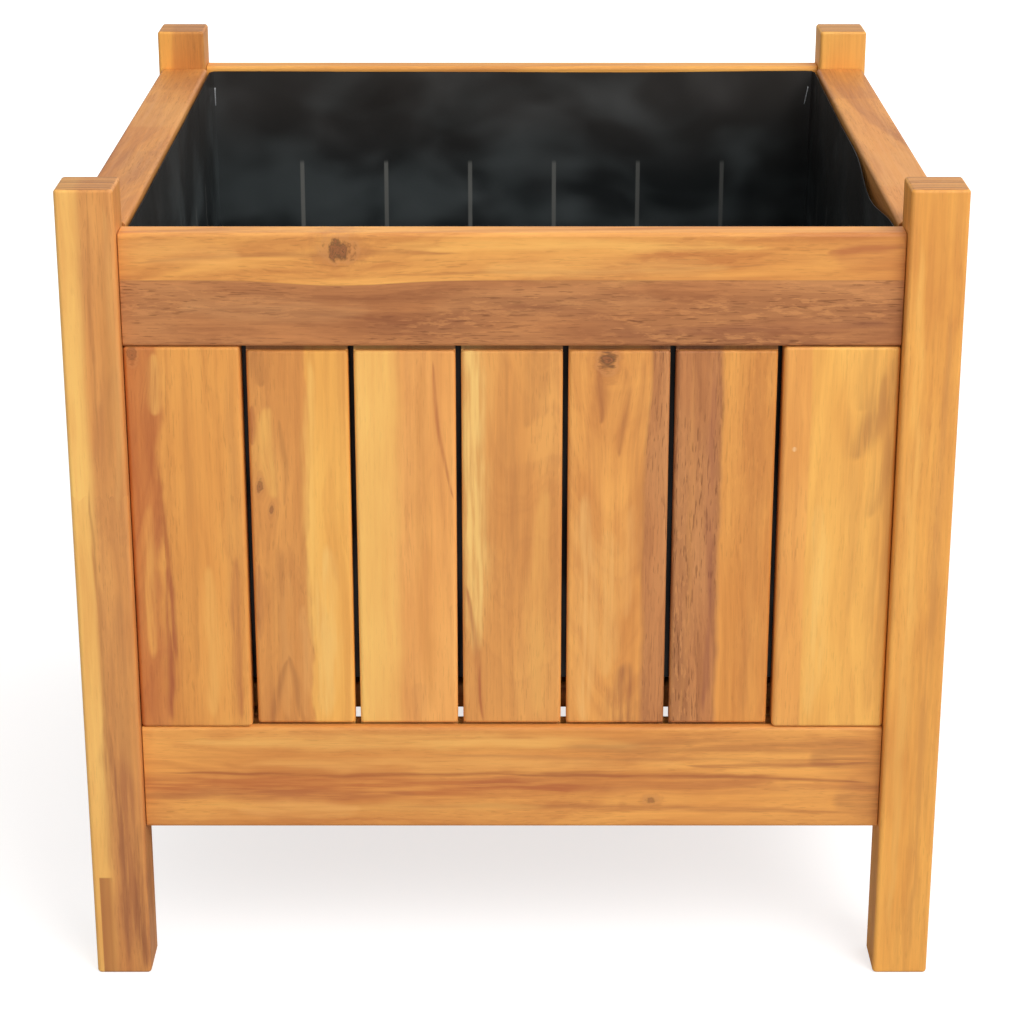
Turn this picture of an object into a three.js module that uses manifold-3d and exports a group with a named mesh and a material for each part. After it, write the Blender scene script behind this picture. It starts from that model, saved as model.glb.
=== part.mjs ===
// Wooden planter box with a black film liner.
// Four square posts stand at the corners, and a frame of upright slats closes each side.
// The front and rear panels are thin and are screwed on through the posts. The left and
// right frames have thicker rails, tenoned into the posts. Slats and stiles stand with
// tongues in grooves ploughed in the rails. A slatted bottom lies on ledgers inside.
// Millimetres: X to the right, front towards -Y, Z up, origin on the ground under the centre.
import * as THREE from "three";
import { mergeVertices } from "three/addons/utils/BufferGeometryUtils.js";
import Module from "manifold-3d";

const wasm = await Module();
wasm.setup();

// Overall
const WIDTH = 400; // over the posts, the same across and front to back
const HEIGHT = 387;
const POST_SIDE = 26;

// Rails, stiles and slats
const RAIL_HEIGHT = 52;
const TOP_RAIL_TOP = 366;
const BOTTOM_RAIL_BOTTOM = 75.5;
const PANEL_RAIL_THICKNESS = 14; // front and rear
const PANEL_SETBACK = 6; // front and rear rails behind the posts' outer faces
const SIDE_RAIL_THICKNESS = 26;
const SIDE_SETBACK = 1.5;
const STILE_WIDTH = 52;
const STILE_THICKNESS = 14;
const SLAT_COUNT = 5;
const SLAT_THICKNESS = 9;
const SLAT_GAP = 2.5; // beside each slat
const SLAT_FOOT_GAP = 1; // under a slat's shoulder
const SLAT_HEAD_GAP = 2.5; // over a slat's shoulder

// Joints
const FIT = 0.3; // clearance round a tongue, tenon or screw
const SEAM = 0.25; // between two shoulders
const GROOVE_DEPTH = 8.3;
const TONGUE_THICKNESS = 5;
const TONGUE_INSET = 0.25; // tongue narrower than its board, each side
const TENON_THICKNESS = 10;
const TENON_HEIGHT = 36;
const TENON_LENGTH = 9;
const TENON_SHIFT = 2; // off the rail's middle, away from its groove

// Sanded edges
const EDGE_RADIUS = 2;
const END_RADIUS = 1.5;
const EDGE_STEPS = 2;
const END_STEPS = 1;

// Corner screws, driven through the posts into the ends of the front and rear rails
const SCREW_LENGTH = 50;
const SCREW_RADIUS = 2;
const SCREW_HEAD_RADIUS = 4;
const SCREW_HEAD_RIM = 0.4;
const SCREW_HEAD_HEIGHT = 3;
const SCREW_TIP = 5;
const SCREW_RECESS = 0.5; // head below the post's face
const SCREW_SIDES = 12;
const SOCKET_RADIUS = 1.5; // six-sided key socket in the head
const SOCKET_DEPTH = 1.8;

// Bottom
const BOARD_COUNT = 6;
const BOARD_WIDTH = 54;
const BOARD_GAP = 4.8;
const BOARD_THICKNESS = 13;
const BOARD_LENGTH = 341;
const BOARD_TOP = 141.3;
const BATTEN_WIDTH = 42;
const BATTEN_THICKNESS = 13.7;
const BATTEN_CENTRE = 125; // each side of the middle
const LEDGER_SIDE = 18;

// Liner
const LINER_THICKNESS = 1;
const LINER_CLEARANCE = 0.5; // to the rails' inner faces
const LINER_TOP = 364;
const LINER_CORNER = 2;

// Finish: wood tones from light to dark, film and screws
const HONEY = 0xe8b06a;
const AMBER = 0xd49a5a;
const RUSSET = 0xc48650;
const WALNUT = 0xa97048;
const SLAT_TONES = [AMBER, HONEY, AMBER, RUSSET, WALNUT];
const FILM = 0x2b2c2a;
const STEEL = 0x8d8f92;

// Places that follow from the dimensions
const SPAN = WIDTH - 2 * POST_SIDE; // between two posts
const POST_CENTRE = (WIDTH - POST_SIDE) / 2;
const TOP_RAIL_CENTRE = TOP_RAIL_TOP - RAIL_HEIGHT / 2;
const BOTTOM_RAIL_CENTRE = BOTTOM_RAIL_BOTTOM + RAIL_HEIGHT / 2;
const OPENING_BOTTOM = BOTTOM_RAIL_BOTTOM + RAIL_HEIGHT;
const OPENING_TOP = TOP_RAIL_TOP - RAIL_HEIGHT;
const PANEL_CENTRE = WIDTH / 2 - PANEL_SETBACK - PANEL_RAIL_THICKNESS / 2;
const PANEL_INNER = PANEL_CENTRE - PANEL_RAIL_THICKNESS / 2;
const SIDE_CENTRE = WIDTH / 2 - SIDE_SETBACK - SIDE_RAIL_THICKNESS / 2;
const SIDE_INNER = SIDE_CENTRE - SIDE_RAIL_THICKNESS / 2;
const SCREW_START = WIDTH / 2 - SCREW_RECESS;
const BATTEN_TOP = BOARD_TOP - BOARD_THICKNESS - FIT;
const LEDGER_TOP = BATTEN_TOP - BATTEN_THICKNESS - FIT;
const OVERCUT = 1; // how far a cutter reaches out of the wood

// A three.js geometry as a manifold-3d solid.
function solidOf(geometry) {
  const bare = geometry.clone();
  bare.deleteAttribute("normal");
  bare.deleteAttribute("uv");
  const merged = mergeVertices(bare, 1e-4);
  return new wasm.Manifold(
    new wasm.Mesh({
      numProp: 3,
      vertProperties: merged.attributes.position.array,
      triVerts: new Uint32Array(merged.index.array),
    }),
  );
}

// A manifold-3d solid as a flat-shaded three.js geometry.
function geometryOf(solid) {
  const mesh = solid.getMesh();
  const indexed = new THREE.BufferGeometry();
  indexed.setAttribute("position", new THREE.BufferAttribute(mesh.vertProperties, 3));
  indexed.setIndex(new THREE.BufferAttribute(mesh.triVerts, 1));
  const flat = indexed.toNonIndexed();
  flat.computeVertexNormals();
  return flat;
}

// A rectangle with rounded corners, centred on the origin.
function roundedRectangle(width, height, radius) {
  const x = width / 2 - radius;
  const y = height / 2 - radius;
  const shape = new THREE.Shape();
  shape.absarc(x, -y, radius, -Math.PI / 2, 0);
  shape.absarc(x, y, radius, 0, Math.PI / 2);
  shape.absarc(-x, y, radius, Math.PI / 2, Math.PI);
  shape.absarc(-x, -y, radius, Math.PI, 1.5 * Math.PI);
  shape.closePath();
  return shape;
}

// A sanded stick of wood, centred on the origin. It stands on Z with its width along X,
// or lies along X with its width upright.
function stick(width, thickness, length, lying = false) {
  const geometry = new THREE.ExtrudeGeometry(roundedRectangle(width, thickness, EDGE_RADIUS), {
    depth: length - 2 * END_RADIUS,
    curveSegments: EDGE_STEPS,
    bevelSize: END_RADIUS,
    bevelThickness: END_RADIUS,
    bevelOffset: -END_RADIUS,
    bevelSegments: END_STEPS,
  });
  geometry.translate(0, 0, END_RADIUS - length / 2);
  if (lying) geometry.rotateY(Math.PI / 2);
  return solidOf(geometry);
}

// A square-edged block, for tongues, tenons and cutters.
function block(size, centre = [0, 0, 0]) {
  const geometry = new THREE.BoxGeometry(...size);
  geometry.translate(...centre);
  return solidOf(geometry);
}

// An upright board with a tongue standing out of each end.
function tonguedBoard(width, thickness, shoulderLength, tongueLength) {
  const tongue = [width - 2 * TONGUE_INSET, TONGUE_THICKNESS, shoulderLength + 2 * tongueLength];
  return stick(width, thickness, shoulderLength).add(block(tongue));
}

// A rail along X, grooved in the edge that faces up (1) or down (-1).
function groovedRail(thickness, grooveSide) {
  const length = SPAN - 2 * SEAM;
  const groove = [length + 2 * OVERCUT, TONGUE_THICKNESS + 2 * FIT, GROOVE_DEPTH + OVERCUT];
  const height = (grooveSide * (RAIL_HEIGHT - GROOVE_DEPTH + OVERCUT)) / 2;
  return stick(RAIL_HEIGHT, thickness, length, true).subtract(block(groove, [0, 0, height]));
}

// A front or rear rail, bored in both ends for the corner screws.
function boredRail(grooveSide) {
  return groovedRail(PANEL_RAIL_THICKNESS, grooveSide)
    .subtract(screw(FIT, 1, [-SCREW_START, 0, 0]))
    .subtract(screw(FIT, -1, [SCREW_START, 0, 0]));
}

// A left or right rail, with a stub tenon on each end.
function tenonedRail(grooveSide) {
  const tenons = [SPAN - 2 * SEAM + 2 * TENON_LENGTH, TENON_THICKNESS, TENON_HEIGHT];
  const core = block(tenons, [0, 0, -grooveSide * TENON_SHIFT]);
  return groovedRail(SIDE_RAIL_THICKNESS, grooveSide).add(core);
}

// A corner screw driven along X from its head, towards 1 or -1. With a clearance it is the
// cutter for its hole.
function screw(clearance, direction, head = [0, 0, 0]) {
  const shank = SCREW_RADIUS + clearance;
  const rim = SCREW_HEAD_RADIUS + clearance;
  const end = SCREW_LENGTH + clearance;
  const mouth = clearance > 0 ? -SCREW_RECESS - OVERCUT : 0;
  const profile = [
    [0, mouth],
    [rim, mouth],
    [rim, SCREW_HEAD_RIM],
    [shank, SCREW_HEAD_HEIGHT],
    [shank, end - SCREW_TIP],
    [0, end],
  ].map(([radius, along]) => new THREE.Vector2(radius, along));
  const turned = new THREE.LatheGeometry(profile, SCREW_SIDES);
  turned.rotateZ((-direction * Math.PI) / 2);
  turned.translate(...head);
  return solidOf(turned);
}

// A corner screw with the key socket cut in its head.
function socketScrew(direction) {
  const key = new THREE.CylinderGeometry(SOCKET_RADIUS, SOCKET_RADIUS, 2 * SOCKET_DEPTH, 6);
  key.rotateZ(Math.PI / 2);
  return screw(0, direction).subtract(solidOf(key));
}

// A corner post, standing on the origin. Its outer faces look to the given sides; it is
// mortised for the side rails' tenons and bored for the corner screws.
function post(sideX, sideY) {
  const slack = 2 * FIT;
  const mortise = [TENON_THICKNESS + slack, 2 * TENON_LENGTH + slack, TENON_HEIGHT + slack];
  const mortiseX = sideX * (SIDE_CENTRE - POST_CENTRE);
  const mortiseY = (-sideY * POST_SIDE) / 2;
  const screwX = sideX * (SCREW_START - POST_CENTRE);
  let body = stick(POST_SIDE, POST_SIDE, HEIGHT);
  for (const [railCentre, shift] of [
    [TOP_RAIL_CENTRE, TENON_SHIFT],
    [BOTTOM_RAIL_CENTRE, -TENON_SHIFT],
  ]) {
    const height = railCentre - HEIGHT / 2;
    body = body
      .subtract(block(mortise, [mortiseX, mortiseY, height + shift]))
      .subtract(screw(FIT, -sideX, [screwX, 0, height]));
  }
  return body;
}

// An open tray of film with upright walls, its floor on the origin.
function tray(width, depth, height) {
  const wall = LINER_THICKNESS;
  const shell = (inset) =>
    new THREE.ExtrudeGeometry(
      roundedRectangle(width - 2 * inset, depth - 2 * inset, LINER_CORNER - inset),
      { depth: height, curveSegments: EDGE_STEPS, bevelEnabled: false },
    );
  const space = shell(wall).translate(0, 0, wall);
  return solidOf(shell(0)).subtract(solidOf(space));
}

// A named piece of one material.
function piece(name, solid, color, [x, y, z], roughness = 0.55, metalness = 0) {
  const material = new THREE.MeshStandardMaterial({ color, roughness, metalness });
  const mesh = new THREE.Mesh(geometryOf(solid), material);
  mesh.name = name;
  mesh.position.set(x, y, z);
  return mesh;
}

// One framed side, seen from outside with its width along X and its outer face towards -Y.
function framedPanel(side, rail) {
  const panel = new THREE.Group();
  panel.add(piece(`${side}_top_rail`, rail(-1), RUSSET, [0, 0, TOP_RAIL_CENTRE]));
  panel.add(piece(`${side}_bottom_rail`, rail(1), HONEY, [0, 0, BOTTOM_RAIL_CENTRE]));

  const stileLength = OPENING_TOP - OPENING_BOTTOM - 2 * SEAM;
  const stile = tonguedBoard(STILE_WIDTH, STILE_THICKNESS, stileLength, GROOVE_DEPTH - FIT);
  const stileX = SPAN / 2 - SEAM - STILE_WIDTH / 2;
  const middle = (OPENING_TOP + OPENING_BOTTOM) / 2;
  panel.add(piece(`${side}_stile_left`, stile, AMBER, [-stileX, 0, middle]));
  panel.add(piece(`${side}_stile_right`, stile, HONEY, [stileX, 0, middle]));

  const opening = 2 * stileX - STILE_WIDTH;
  const slatWidth = (opening - (SLAT_COUNT + 1) * SLAT_GAP) / SLAT_COUNT;
  const slatLength = OPENING_TOP - OPENING_BOTTOM - SLAT_FOOT_GAP - SLAT_HEAD_GAP;
  const slatTongue = GROOVE_DEPTH + SLAT_FOOT_GAP - FIT;
  const slat = tonguedBoard(slatWidth, SLAT_THICKNESS, slatLength, slatTongue);
  const slatZ = OPENING_BOTTOM + SLAT_FOOT_GAP + slatLength / 2;
  for (let i = 0; i < SLAT_COUNT; i++) {
    const x = (i - (SLAT_COUNT - 1) / 2) * (slatWidth + SLAT_GAP);
    panel.add(piece(`${side}_slat_${i + 1}`, slat, SLAT_TONES[i], [x, 0, slatZ]));
  }
  return panel;
}

// The slatted bottom: boards across two battens, and the ledgers that carry them.
function bottom() {
  const group = new THREE.Group();
  const board = stick(BOARD_THICKNESS, BOARD_WIDTH, BOARD_LENGTH, true);
  for (let i = 0; i < BOARD_COUNT; i++) {
    const y = (i - (BOARD_COUNT - 1) / 2) * (BOARD_WIDTH + BOARD_GAP);
    const at = [0, y, BOARD_TOP - BOARD_THICKNESS / 2];
    group.add(piece(`bottom_board_${i + 1}`, board, i % 2 ? AMBER : RUSSET, at));
  }
  const battenLength = 2 * (PANEL_INNER - 2 * FIT);
  const batten = stick(BATTEN_THICKNESS, BATTEN_WIDTH, battenLength, true);
  const ledger = stick(LEDGER_SIDE, LEDGER_SIDE, BOARD_LENGTH, true);
  for (const [sign, hand, end] of [
    [-1, "left", "front"],
    [1, "right", "rear"],
  ]) {
    const battenAt = [sign * BATTEN_CENTRE, 0, BATTEN_TOP - BATTEN_THICKNESS / 2];
    const across = piece(`bottom_batten_${hand}`, batten, AMBER, battenAt);
    across.rotation.z = Math.PI / 2;
    const ledgerY = sign * (PANEL_INNER - FIT - LEDGER_SIDE / 2);
    const ledgerAt = [0, ledgerY, LEDGER_TOP - LEDGER_SIDE / 2];
    group.add(across, piece(`ledger_${end}`, ledger, AMBER, ledgerAt));
  }
  return group;
}

// The posts, and the screws that hold the front and rear panels between them.
function corners() {
  const group = new THREE.Group();
  for (const [sideY, end] of [
    [-1, "front"],
    [1, "rear"],
  ]) {
    for (const [sideX, hand] of [
      [-1, "left"],
      [1, "right"],
    ]) {
      const at = [sideX * POST_CENTRE, sideY * POST_CENTRE, HEIGHT / 2];
      group.add(piece(`post_${end}_${hand}`, post(sideX, sideY), AMBER, at));
      for (const [height, level] of [
        [TOP_RAIL_CENTRE, "top"],
        [BOTTOM_RAIL_CENTRE, "bottom"],
      ]) {
        const head = [sideX * SCREW_START, sideY * PANEL_CENTRE, height];
        const name = `screw_${end}_${hand}_${level}`;
        group.add(piece(name, socketScrew(-sideX), STEEL, head, 0.35, 1));
      }
    }
  }
  return group;
}

const planter = new THREE.Group();
planter.add(corners());

const front = framedPanel("front", boredRail);
front.position.y = -PANEL_CENTRE;
const rear = framedPanel("rear", boredRail);
rear.position.y = PANEL_CENTRE;
rear.rotation.z = Math.PI;
const left = framedPanel("left", tenonedRail);
left.position.x = -SIDE_CENTRE;
left.rotation.z = -Math.PI / 2;
const right = framedPanel("right", tenonedRail);
right.position.x = SIDE_CENTRE;
right.rotation.z = Math.PI / 2;
planter.add(front, rear, left, right, bottom());

const linerBottom = BOARD_TOP + FIT;
const linerWidth = 2 * (SIDE_INNER - LINER_CLEARANCE);
const linerDepth = 2 * (PANEL_INNER - LINER_CLEARANCE);
const liner = tray(linerWidth, linerDepth, LINER_TOP - linerBottom);
planter.add(piece("liner", liner, FILM, [0, 0, linerBottom], 0.4));

export default planter;
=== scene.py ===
"""Wooden planter box: sanded acacia boards in four framed sides, and a black film liner.

Lengths are in metres on the object. Boards are dressed in millimetres of their own board:
across the face, through the thickness and along the grain, from the board's middle.
"""

import logging
import math
import random
from collections.abc import Iterable, Mapping, Sequence
from dataclasses import asdict, dataclass, field, replace
from enum import Enum

import bmesh
import bpy
from mathutils import Matrix, Vector, noise


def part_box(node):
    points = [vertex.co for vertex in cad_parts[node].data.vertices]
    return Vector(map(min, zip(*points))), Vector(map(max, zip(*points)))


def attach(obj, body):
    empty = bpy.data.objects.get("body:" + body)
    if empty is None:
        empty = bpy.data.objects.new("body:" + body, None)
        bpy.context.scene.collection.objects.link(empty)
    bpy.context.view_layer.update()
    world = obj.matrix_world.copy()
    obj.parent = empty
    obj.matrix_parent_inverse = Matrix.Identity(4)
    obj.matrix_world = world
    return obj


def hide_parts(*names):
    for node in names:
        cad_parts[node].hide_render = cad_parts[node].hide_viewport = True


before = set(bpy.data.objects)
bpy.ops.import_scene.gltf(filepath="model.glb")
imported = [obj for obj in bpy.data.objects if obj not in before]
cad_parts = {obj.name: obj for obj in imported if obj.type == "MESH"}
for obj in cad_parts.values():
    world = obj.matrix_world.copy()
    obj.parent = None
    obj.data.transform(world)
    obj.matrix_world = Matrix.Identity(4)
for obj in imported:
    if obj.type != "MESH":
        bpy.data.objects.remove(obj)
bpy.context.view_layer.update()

LOG = logging.getLogger("planter")
BODY = "root"
MM = 0.001
OVERCUT = 1 * MM
QUARTER = math.pi / 2
WHITE = (1.0, 1.0, 1.0, 1.0)

Pair = tuple[float, float]
Triple = tuple[float, float, float]
Color = tuple[float, float, float, float]
Box = tuple[Vector, Vector]
Sockets = Mapping[str, Sequence[str]]
Inputs = Mapping[int | str, object]
Piece = bpy.types.Object
Paint = bpy.types.Material
Tree = bpy.types.NodeTree
Draft = bmesh.types.BMesh
Corner = bmesh.types.BMVert


class Lay(Enum):
    """How a board lies: the axes of its width, its thickness and its grain."""

    UPRIGHT_FRONT = (0, 1, 2)
    UPRIGHT_SIDE = (1, 0, 2)
    ACROSS_FRONT = (2, 1, 0)
    ALONG_SIDE = (2, 0, 1)
    FLAT_ACROSS = (1, 2, 0)
    FLAT_ALONG = (0, 2, 1)


class Hand(Enum):
    """The left or right side, seen from the front."""

    LEFT = -1
    RIGHT = 1


class End(Enum):
    """The front or the rear."""

    FRONT = -1
    REAR = 1


def shade(code: str) -> Color:
    """Turn six hexadecimal digits of a colour chart into scene linear values."""
    parts = [int(code[i : i + 2], 16) / 255 for i in (0, 2, 4)]
    linear = [c / 12.92 if c <= 0.04045 else ((c + 0.055) / 1.055) ** 2.4 for c in parts]
    return (*linear, 1.0)


class Wire:
    """A node's output that can stand in a formula, as a number or as a vector."""

    def __init__(self, graph: "Graph", socket: bpy.types.NodeSocket) -> None:
        """Hold an output of one of the graph's nodes."""
        self.graph = graph
        self.socket = socket

    def _do(self, operation: str, *values: "Value") -> "Wire":
        """Add the node of an operation; a wire of vectors spreads plain numbers over all three axes."""
        if self.socket.type not in ("VECTOR", "RGBA"):
            return self.graph.math(operation, *values)
        wide = ((value,) * 3 if isinstance(value, (int, float)) else value for value in values)
        return self.graph.vector(operation, *wide)

    def __add__(self, other: "Value") -> "Wire":
        """Add a value."""
        return self._do("ADD", self, other)

    def __sub__(self, other: "Value") -> "Wire":
        """Take a value away."""
        return self._do("SUBTRACT", self, other)

    def __rsub__(self, other: "Value") -> "Wire":
        """Take this from a value."""
        return self._do("SUBTRACT", other, self)

    def __mul__(self, other: "Value") -> "Wire":
        """Multiply by a value."""
        return self._do("MULTIPLY", self, other)

    def __truediv__(self, other: "Value") -> "Wire":
        """Divide by a value."""
        return self._do("DIVIDE", self, other)

    def __pow__(self, other: "Value") -> "Wire":
        """Raise to a power."""
        return self._do("POWER", self, other)

    def __abs__(self) -> "Wire":
        """Drop the sign."""
        return self._do("ABSOLUTE", self)

    __radd__, __rmul__ = __add__, __mul__


Value = Wire | float | Sequence[float]


class Graph:
    """A short hand for building a node tree."""

    def __init__(self, tree: Tree) -> None:
        """Start on a tree."""
        self.tree = tree

    def put(self, socket: bpy.types.NodeSocket, value: object) -> None:
        """Link a wire to an input socket, or give it a plain value."""
        if isinstance(value, Wire):
            self.tree.links.new(value.socket, socket)
        else:
            socket.default_value = value

    def feed(self, name: str, inputs: Mapping[str, object]) -> None:
        """Fill inputs of a node that the tree already has."""
        for key, value in inputs.items():
            self.put(self.tree.nodes[name].inputs[key], value)

    def node(self, kind: str, inputs: Inputs | None = None, **settings: object) -> bpy.types.Node:
        """Add a node.

        Args:
            kind: The node's type name.
            inputs: A wire or a plain value for each input, by its name or number.
            **settings: Properties to set on the node first.

        Returns:
            The new node.
        """
        made = self.tree.nodes.new(kind)
        for name, value in settings.items():
            setattr(made, name, value)
        for key, value in (inputs or {}).items():
            self.put(made.inputs[key], value)
        return made

    def add(self, kind: str, inputs: Inputs | None = None, out: int | str = 0, **settings: object) -> Wire:
        """Add a node, as node() does, and return the wire of the output that is asked for."""
        return Wire(self, self.node(kind, inputs, **settings).outputs[out])

    def given(self) -> dict[str, Wire]:
        """Give the wires of the tree's own inputs by name."""
        return {socket.name: Wire(self, socket) for socket in self.node("NodeGroupInput").outputs}

    def math(self, operation: str, *values: Value) -> Wire:
        """Add a Math node."""
        return self.add("ShaderNodeMath", dict(enumerate(values)), operation=operation)

    def vector(self, operation: str, *values: Value) -> Wire:
        """Add a Vector Math node."""
        out = "Value" if operation in ("LENGTH", "DOT_PRODUCT") else "Vector"
        return self.add("ShaderNodeVectorMath", dict(enumerate(values)), out, operation=operation)

    def fade(self, value: Wire) -> Wire:
        """Give a share that falls from 1 as the value grows from 0."""
        return self.math("EXPONENT", value * -1.0)

    def combine(self, x: Value, y: Value, z: Value) -> Wire:
        """Join three numbers into a vector."""
        return self.add("ShaderNodeCombineXYZ", {"X": x, "Y": y, "Z": z})

    def split(self, vector: Wire) -> list[Wire]:
        """Split a vector into its three numbers."""
        return [Wire(self, socket) for socket in self.node("ShaderNodeSeparateXYZ", {0: vector}).outputs]

    def place(self, kind: str = "Object") -> Wire:
        """Give the texture coordinate of one kind."""
        return self.add("ShaderNodeTexCoord", out=kind)

    def seen(self) -> Wire:
        """Give 1 for what the camera sees straight, else 0."""
        return self.add("ShaderNodeLightPath", out="Is Camera Ray")

    def noise(self, place: Wire, detail: float = 2.0, rough: float = 0.5, color: bool = False) -> Wire:
        """Add a noise that varies over one unit of its place.

        Args:
            place: A vector, or a number for noise along a line.
            detail: How many finer layers it has.
            rough: How strong the finer layers are.
            color: Whether three numbers are wanted instead of one.

        Returns:
            The noise.
        """
        key, dimensions = ("W", "1D") if place.socket.type == "VALUE" else ("Vector", "3D")
        inputs = {key: place, "Scale": 1.0, "Detail": detail, "Roughness": rough}
        return self.add("ShaderNodeTexNoise", inputs, "Color" if color else 0, noise_dimensions=dimensions)

    def ramp(self, value: Value, low: float, high: float, to_low: float = 0.0, to_high: float = 1.0) -> Wire:
        """Map a value smoothly from one range to another.

        Args:
            value: The number to map.
            low: Where the ramp starts.
            high: Where it ends, which may be below its start.
            to_low: The result at its start.
            to_high: The result at its end.

        Returns:
            The mapped number.
        """
        inputs = dict(enumerate((value, low, high, to_low, to_high)))
        return self.add("ShaderNodeMapRange", inputs, interpolation_type="SMOOTHSTEP")

    def mix(self, factor: Value, a: Wire | Color, b: Wire | Color, blend: str = "MIX") -> Wire:
        """Mix two colours; the factor is the share of the second one."""
        inputs = {"Factor": factor, 6: a, 7: b}
        return self.add("ShaderNodeMix", inputs, 2, data_type="RGBA", blend_type=blend)

    def bump(self, strength: float, distance: float, height: Wire) -> Wire:
        """Give the normal of a surface with small relief."""
        return self.add("ShaderNodeBump", {"Strength": strength, "Distance": distance, "Height": height})


def new_tree(name: str, kind: str, inputs: Sockets, outputs: Sockets) -> Graph:
    """Start a node group.

    Args:
        name: The group's name.
        kind: The tree's type name.
        inputs: Names of its inputs, by kind of socket.
        outputs: Names of its outputs, by kind of socket.

    Returns:
        A graph on the group's tree.
    """
    tree = bpy.data.node_groups.new(name, kind)
    for way, sockets in (("INPUT", inputs), ("OUTPUT", outputs)):
        for sort, labels in sockets.items():
            for label in labels:
                tree.interface.new_socket(label, in_out=way, socket_type="NodeSocket" + sort)
    return Graph(tree)


def new_paint(name: str) -> tuple[Paint, Graph]:
    """Start a material, with a graph on its nodes."""
    made = bpy.data.materials.new(name)
    made.use_nodes = True
    return made, Graph(made.node_tree)


@dataclass(frozen=True)
class Tone:
    """The colours and figure of one strip of acacia.

    Attributes:
        light: Colour code of the pale early wood.
        dark: Colour code of the deeper wood.
        streak: Colour code of the mineral streaks.
        figure: How strong the growth bands are, from 0 to 1.
        streaks: How strong the streaks are, from 0 to 1.
        flecks: How strong the pores and light flecks are, from 0 to 1.
        ring: Width of a growth band in millimetres.
    """

    light: str
    dark: str
    streak: str
    figure: float = 0.8
    streaks: float = 0.4
    flecks: float = 0.35
    ring: float = 7.0

    def tinted(self, light: str, dark: str) -> "Tone":
        """Give the same figure in other colours."""
        return replace(self, light=light, dark=dark)

    def even(self, figure: float, streaks: float = 0.1) -> "Tone":
        """Give the same colours with another figure."""
        return replace(self, figure=figure, streaks=streaks)

    def calm(self) -> "Tone":
        """Give the same wood with a quiet, wide figure."""
        return replace(self, figure=0.45 * self.figure, streaks=0.3 * self.streaks, ring=14.0)


PALE = Tone("FCBE60", "DD974C", "CB8042", figure=0.7, streaks=0.25, flecks=0.2)
HONEY = Tone("FBB759", "D08744", "C2753B", figure=0.75, streaks=0.3, flecks=0.25)
AMBER = Tone("EFA855", "C57A3C", "B05F34", figure=0.85, streaks=0.5, flecks=0.35)
TAWNY = Tone("E49D4F", "B5713C", "A15632", figure=0.9, streaks=0.55, flecks=0.45)
RUDDY = Tone("D88B49", "B26336", "9A4D30", figure=0.9, streaks=0.6, flecks=0.3)
CHESTNUT = Tone("D08E56", "905634", "804632", figure=0.7, streaks=0.4, flecks=1.0, ring=5.0)

WHOLE_BOARD = -1000.0


@dataclass(frozen=True)
class Strip:
    """A strip glued into a board, in board millimetres.

    Attributes:
        tone: The strip's wood.
        start: Where it starts across the board.
        seed: Which part of the tree it was cut from.
        pith: Across and through distance of the tree's heart.
        lean: How the heart drifts across and through, per millimetre along.
        blend: Half width of the change to this strip; a wide one has no glue line.
        waver: How far the strip's edge wanders.
    """

    tone: Tone
    start: float = WHOLE_BOARD
    seed: float = 0.0
    pith: Pair = (-40.0, 60.0)
    lean: Pair = (0.03, 0.05)
    blend: float = 0.25
    waver: float = 0.0


@dataclass(frozen=True)
class Streak:
    """A stain or band that runs roughly along the grain, in board millimetres.

    Attributes:
        color: Its colour code.
        start: Across and along place of its first end.
        end: Across and along place of its other end.
        width: Its half width.
        strength: How much it covers, from 0 to 1.
        bow: How far its middle bends to the side.
    """

    color: str
    start: Pair
    end: Pair
    width: float
    strength: float = 0.7
    bow: float = 0.0


@dataclass(frozen=True)
class Knot:
    """A knot, in board millimetres.

    Attributes:
        across: Its place across the board.
        along: Its place along the board.
        radius: Its radius across the board.
        stretch: Its length over its width.
        strength: How dark it is, from 0 to 1.
        flow: How strongly the grain runs round it.
    """

    across: float
    along: float
    radius: float
    stretch: float = 1.3
    strength: float = 0.85
    flow: float = 0.8


@dataclass(frozen=True)
class Patch:
    """A straight-edged piece let into a board's lower end, in board millimetres.

    Attributes:
        color: Its colour code.
        left: Where it starts across the board.
        right: Where it ends across the board.
        top: Where it ends along the board.
        strength: How much it covers, from 0 to 1.
    """

    color: str
    left: float
    right: float
    top: float
    strength: float = 0.5


@dataclass(frozen=True)
class Figure:
    """Everything that is seen in one board.

    Attributes:
        strips: Its glued strips, from left to right.
        streaks: Its stains and bands.
        knots: Its knots.
        joints: Places of the finger joints along it.
        patches: Pieces let into it.
    """

    strips: tuple[Strip, ...]
    streaks: tuple[Streak, ...] = ()
    knots: tuple[Knot, ...] = ()
    joints: tuple[float, ...] = ()
    patches: tuple[Patch, ...] = ()


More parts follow.
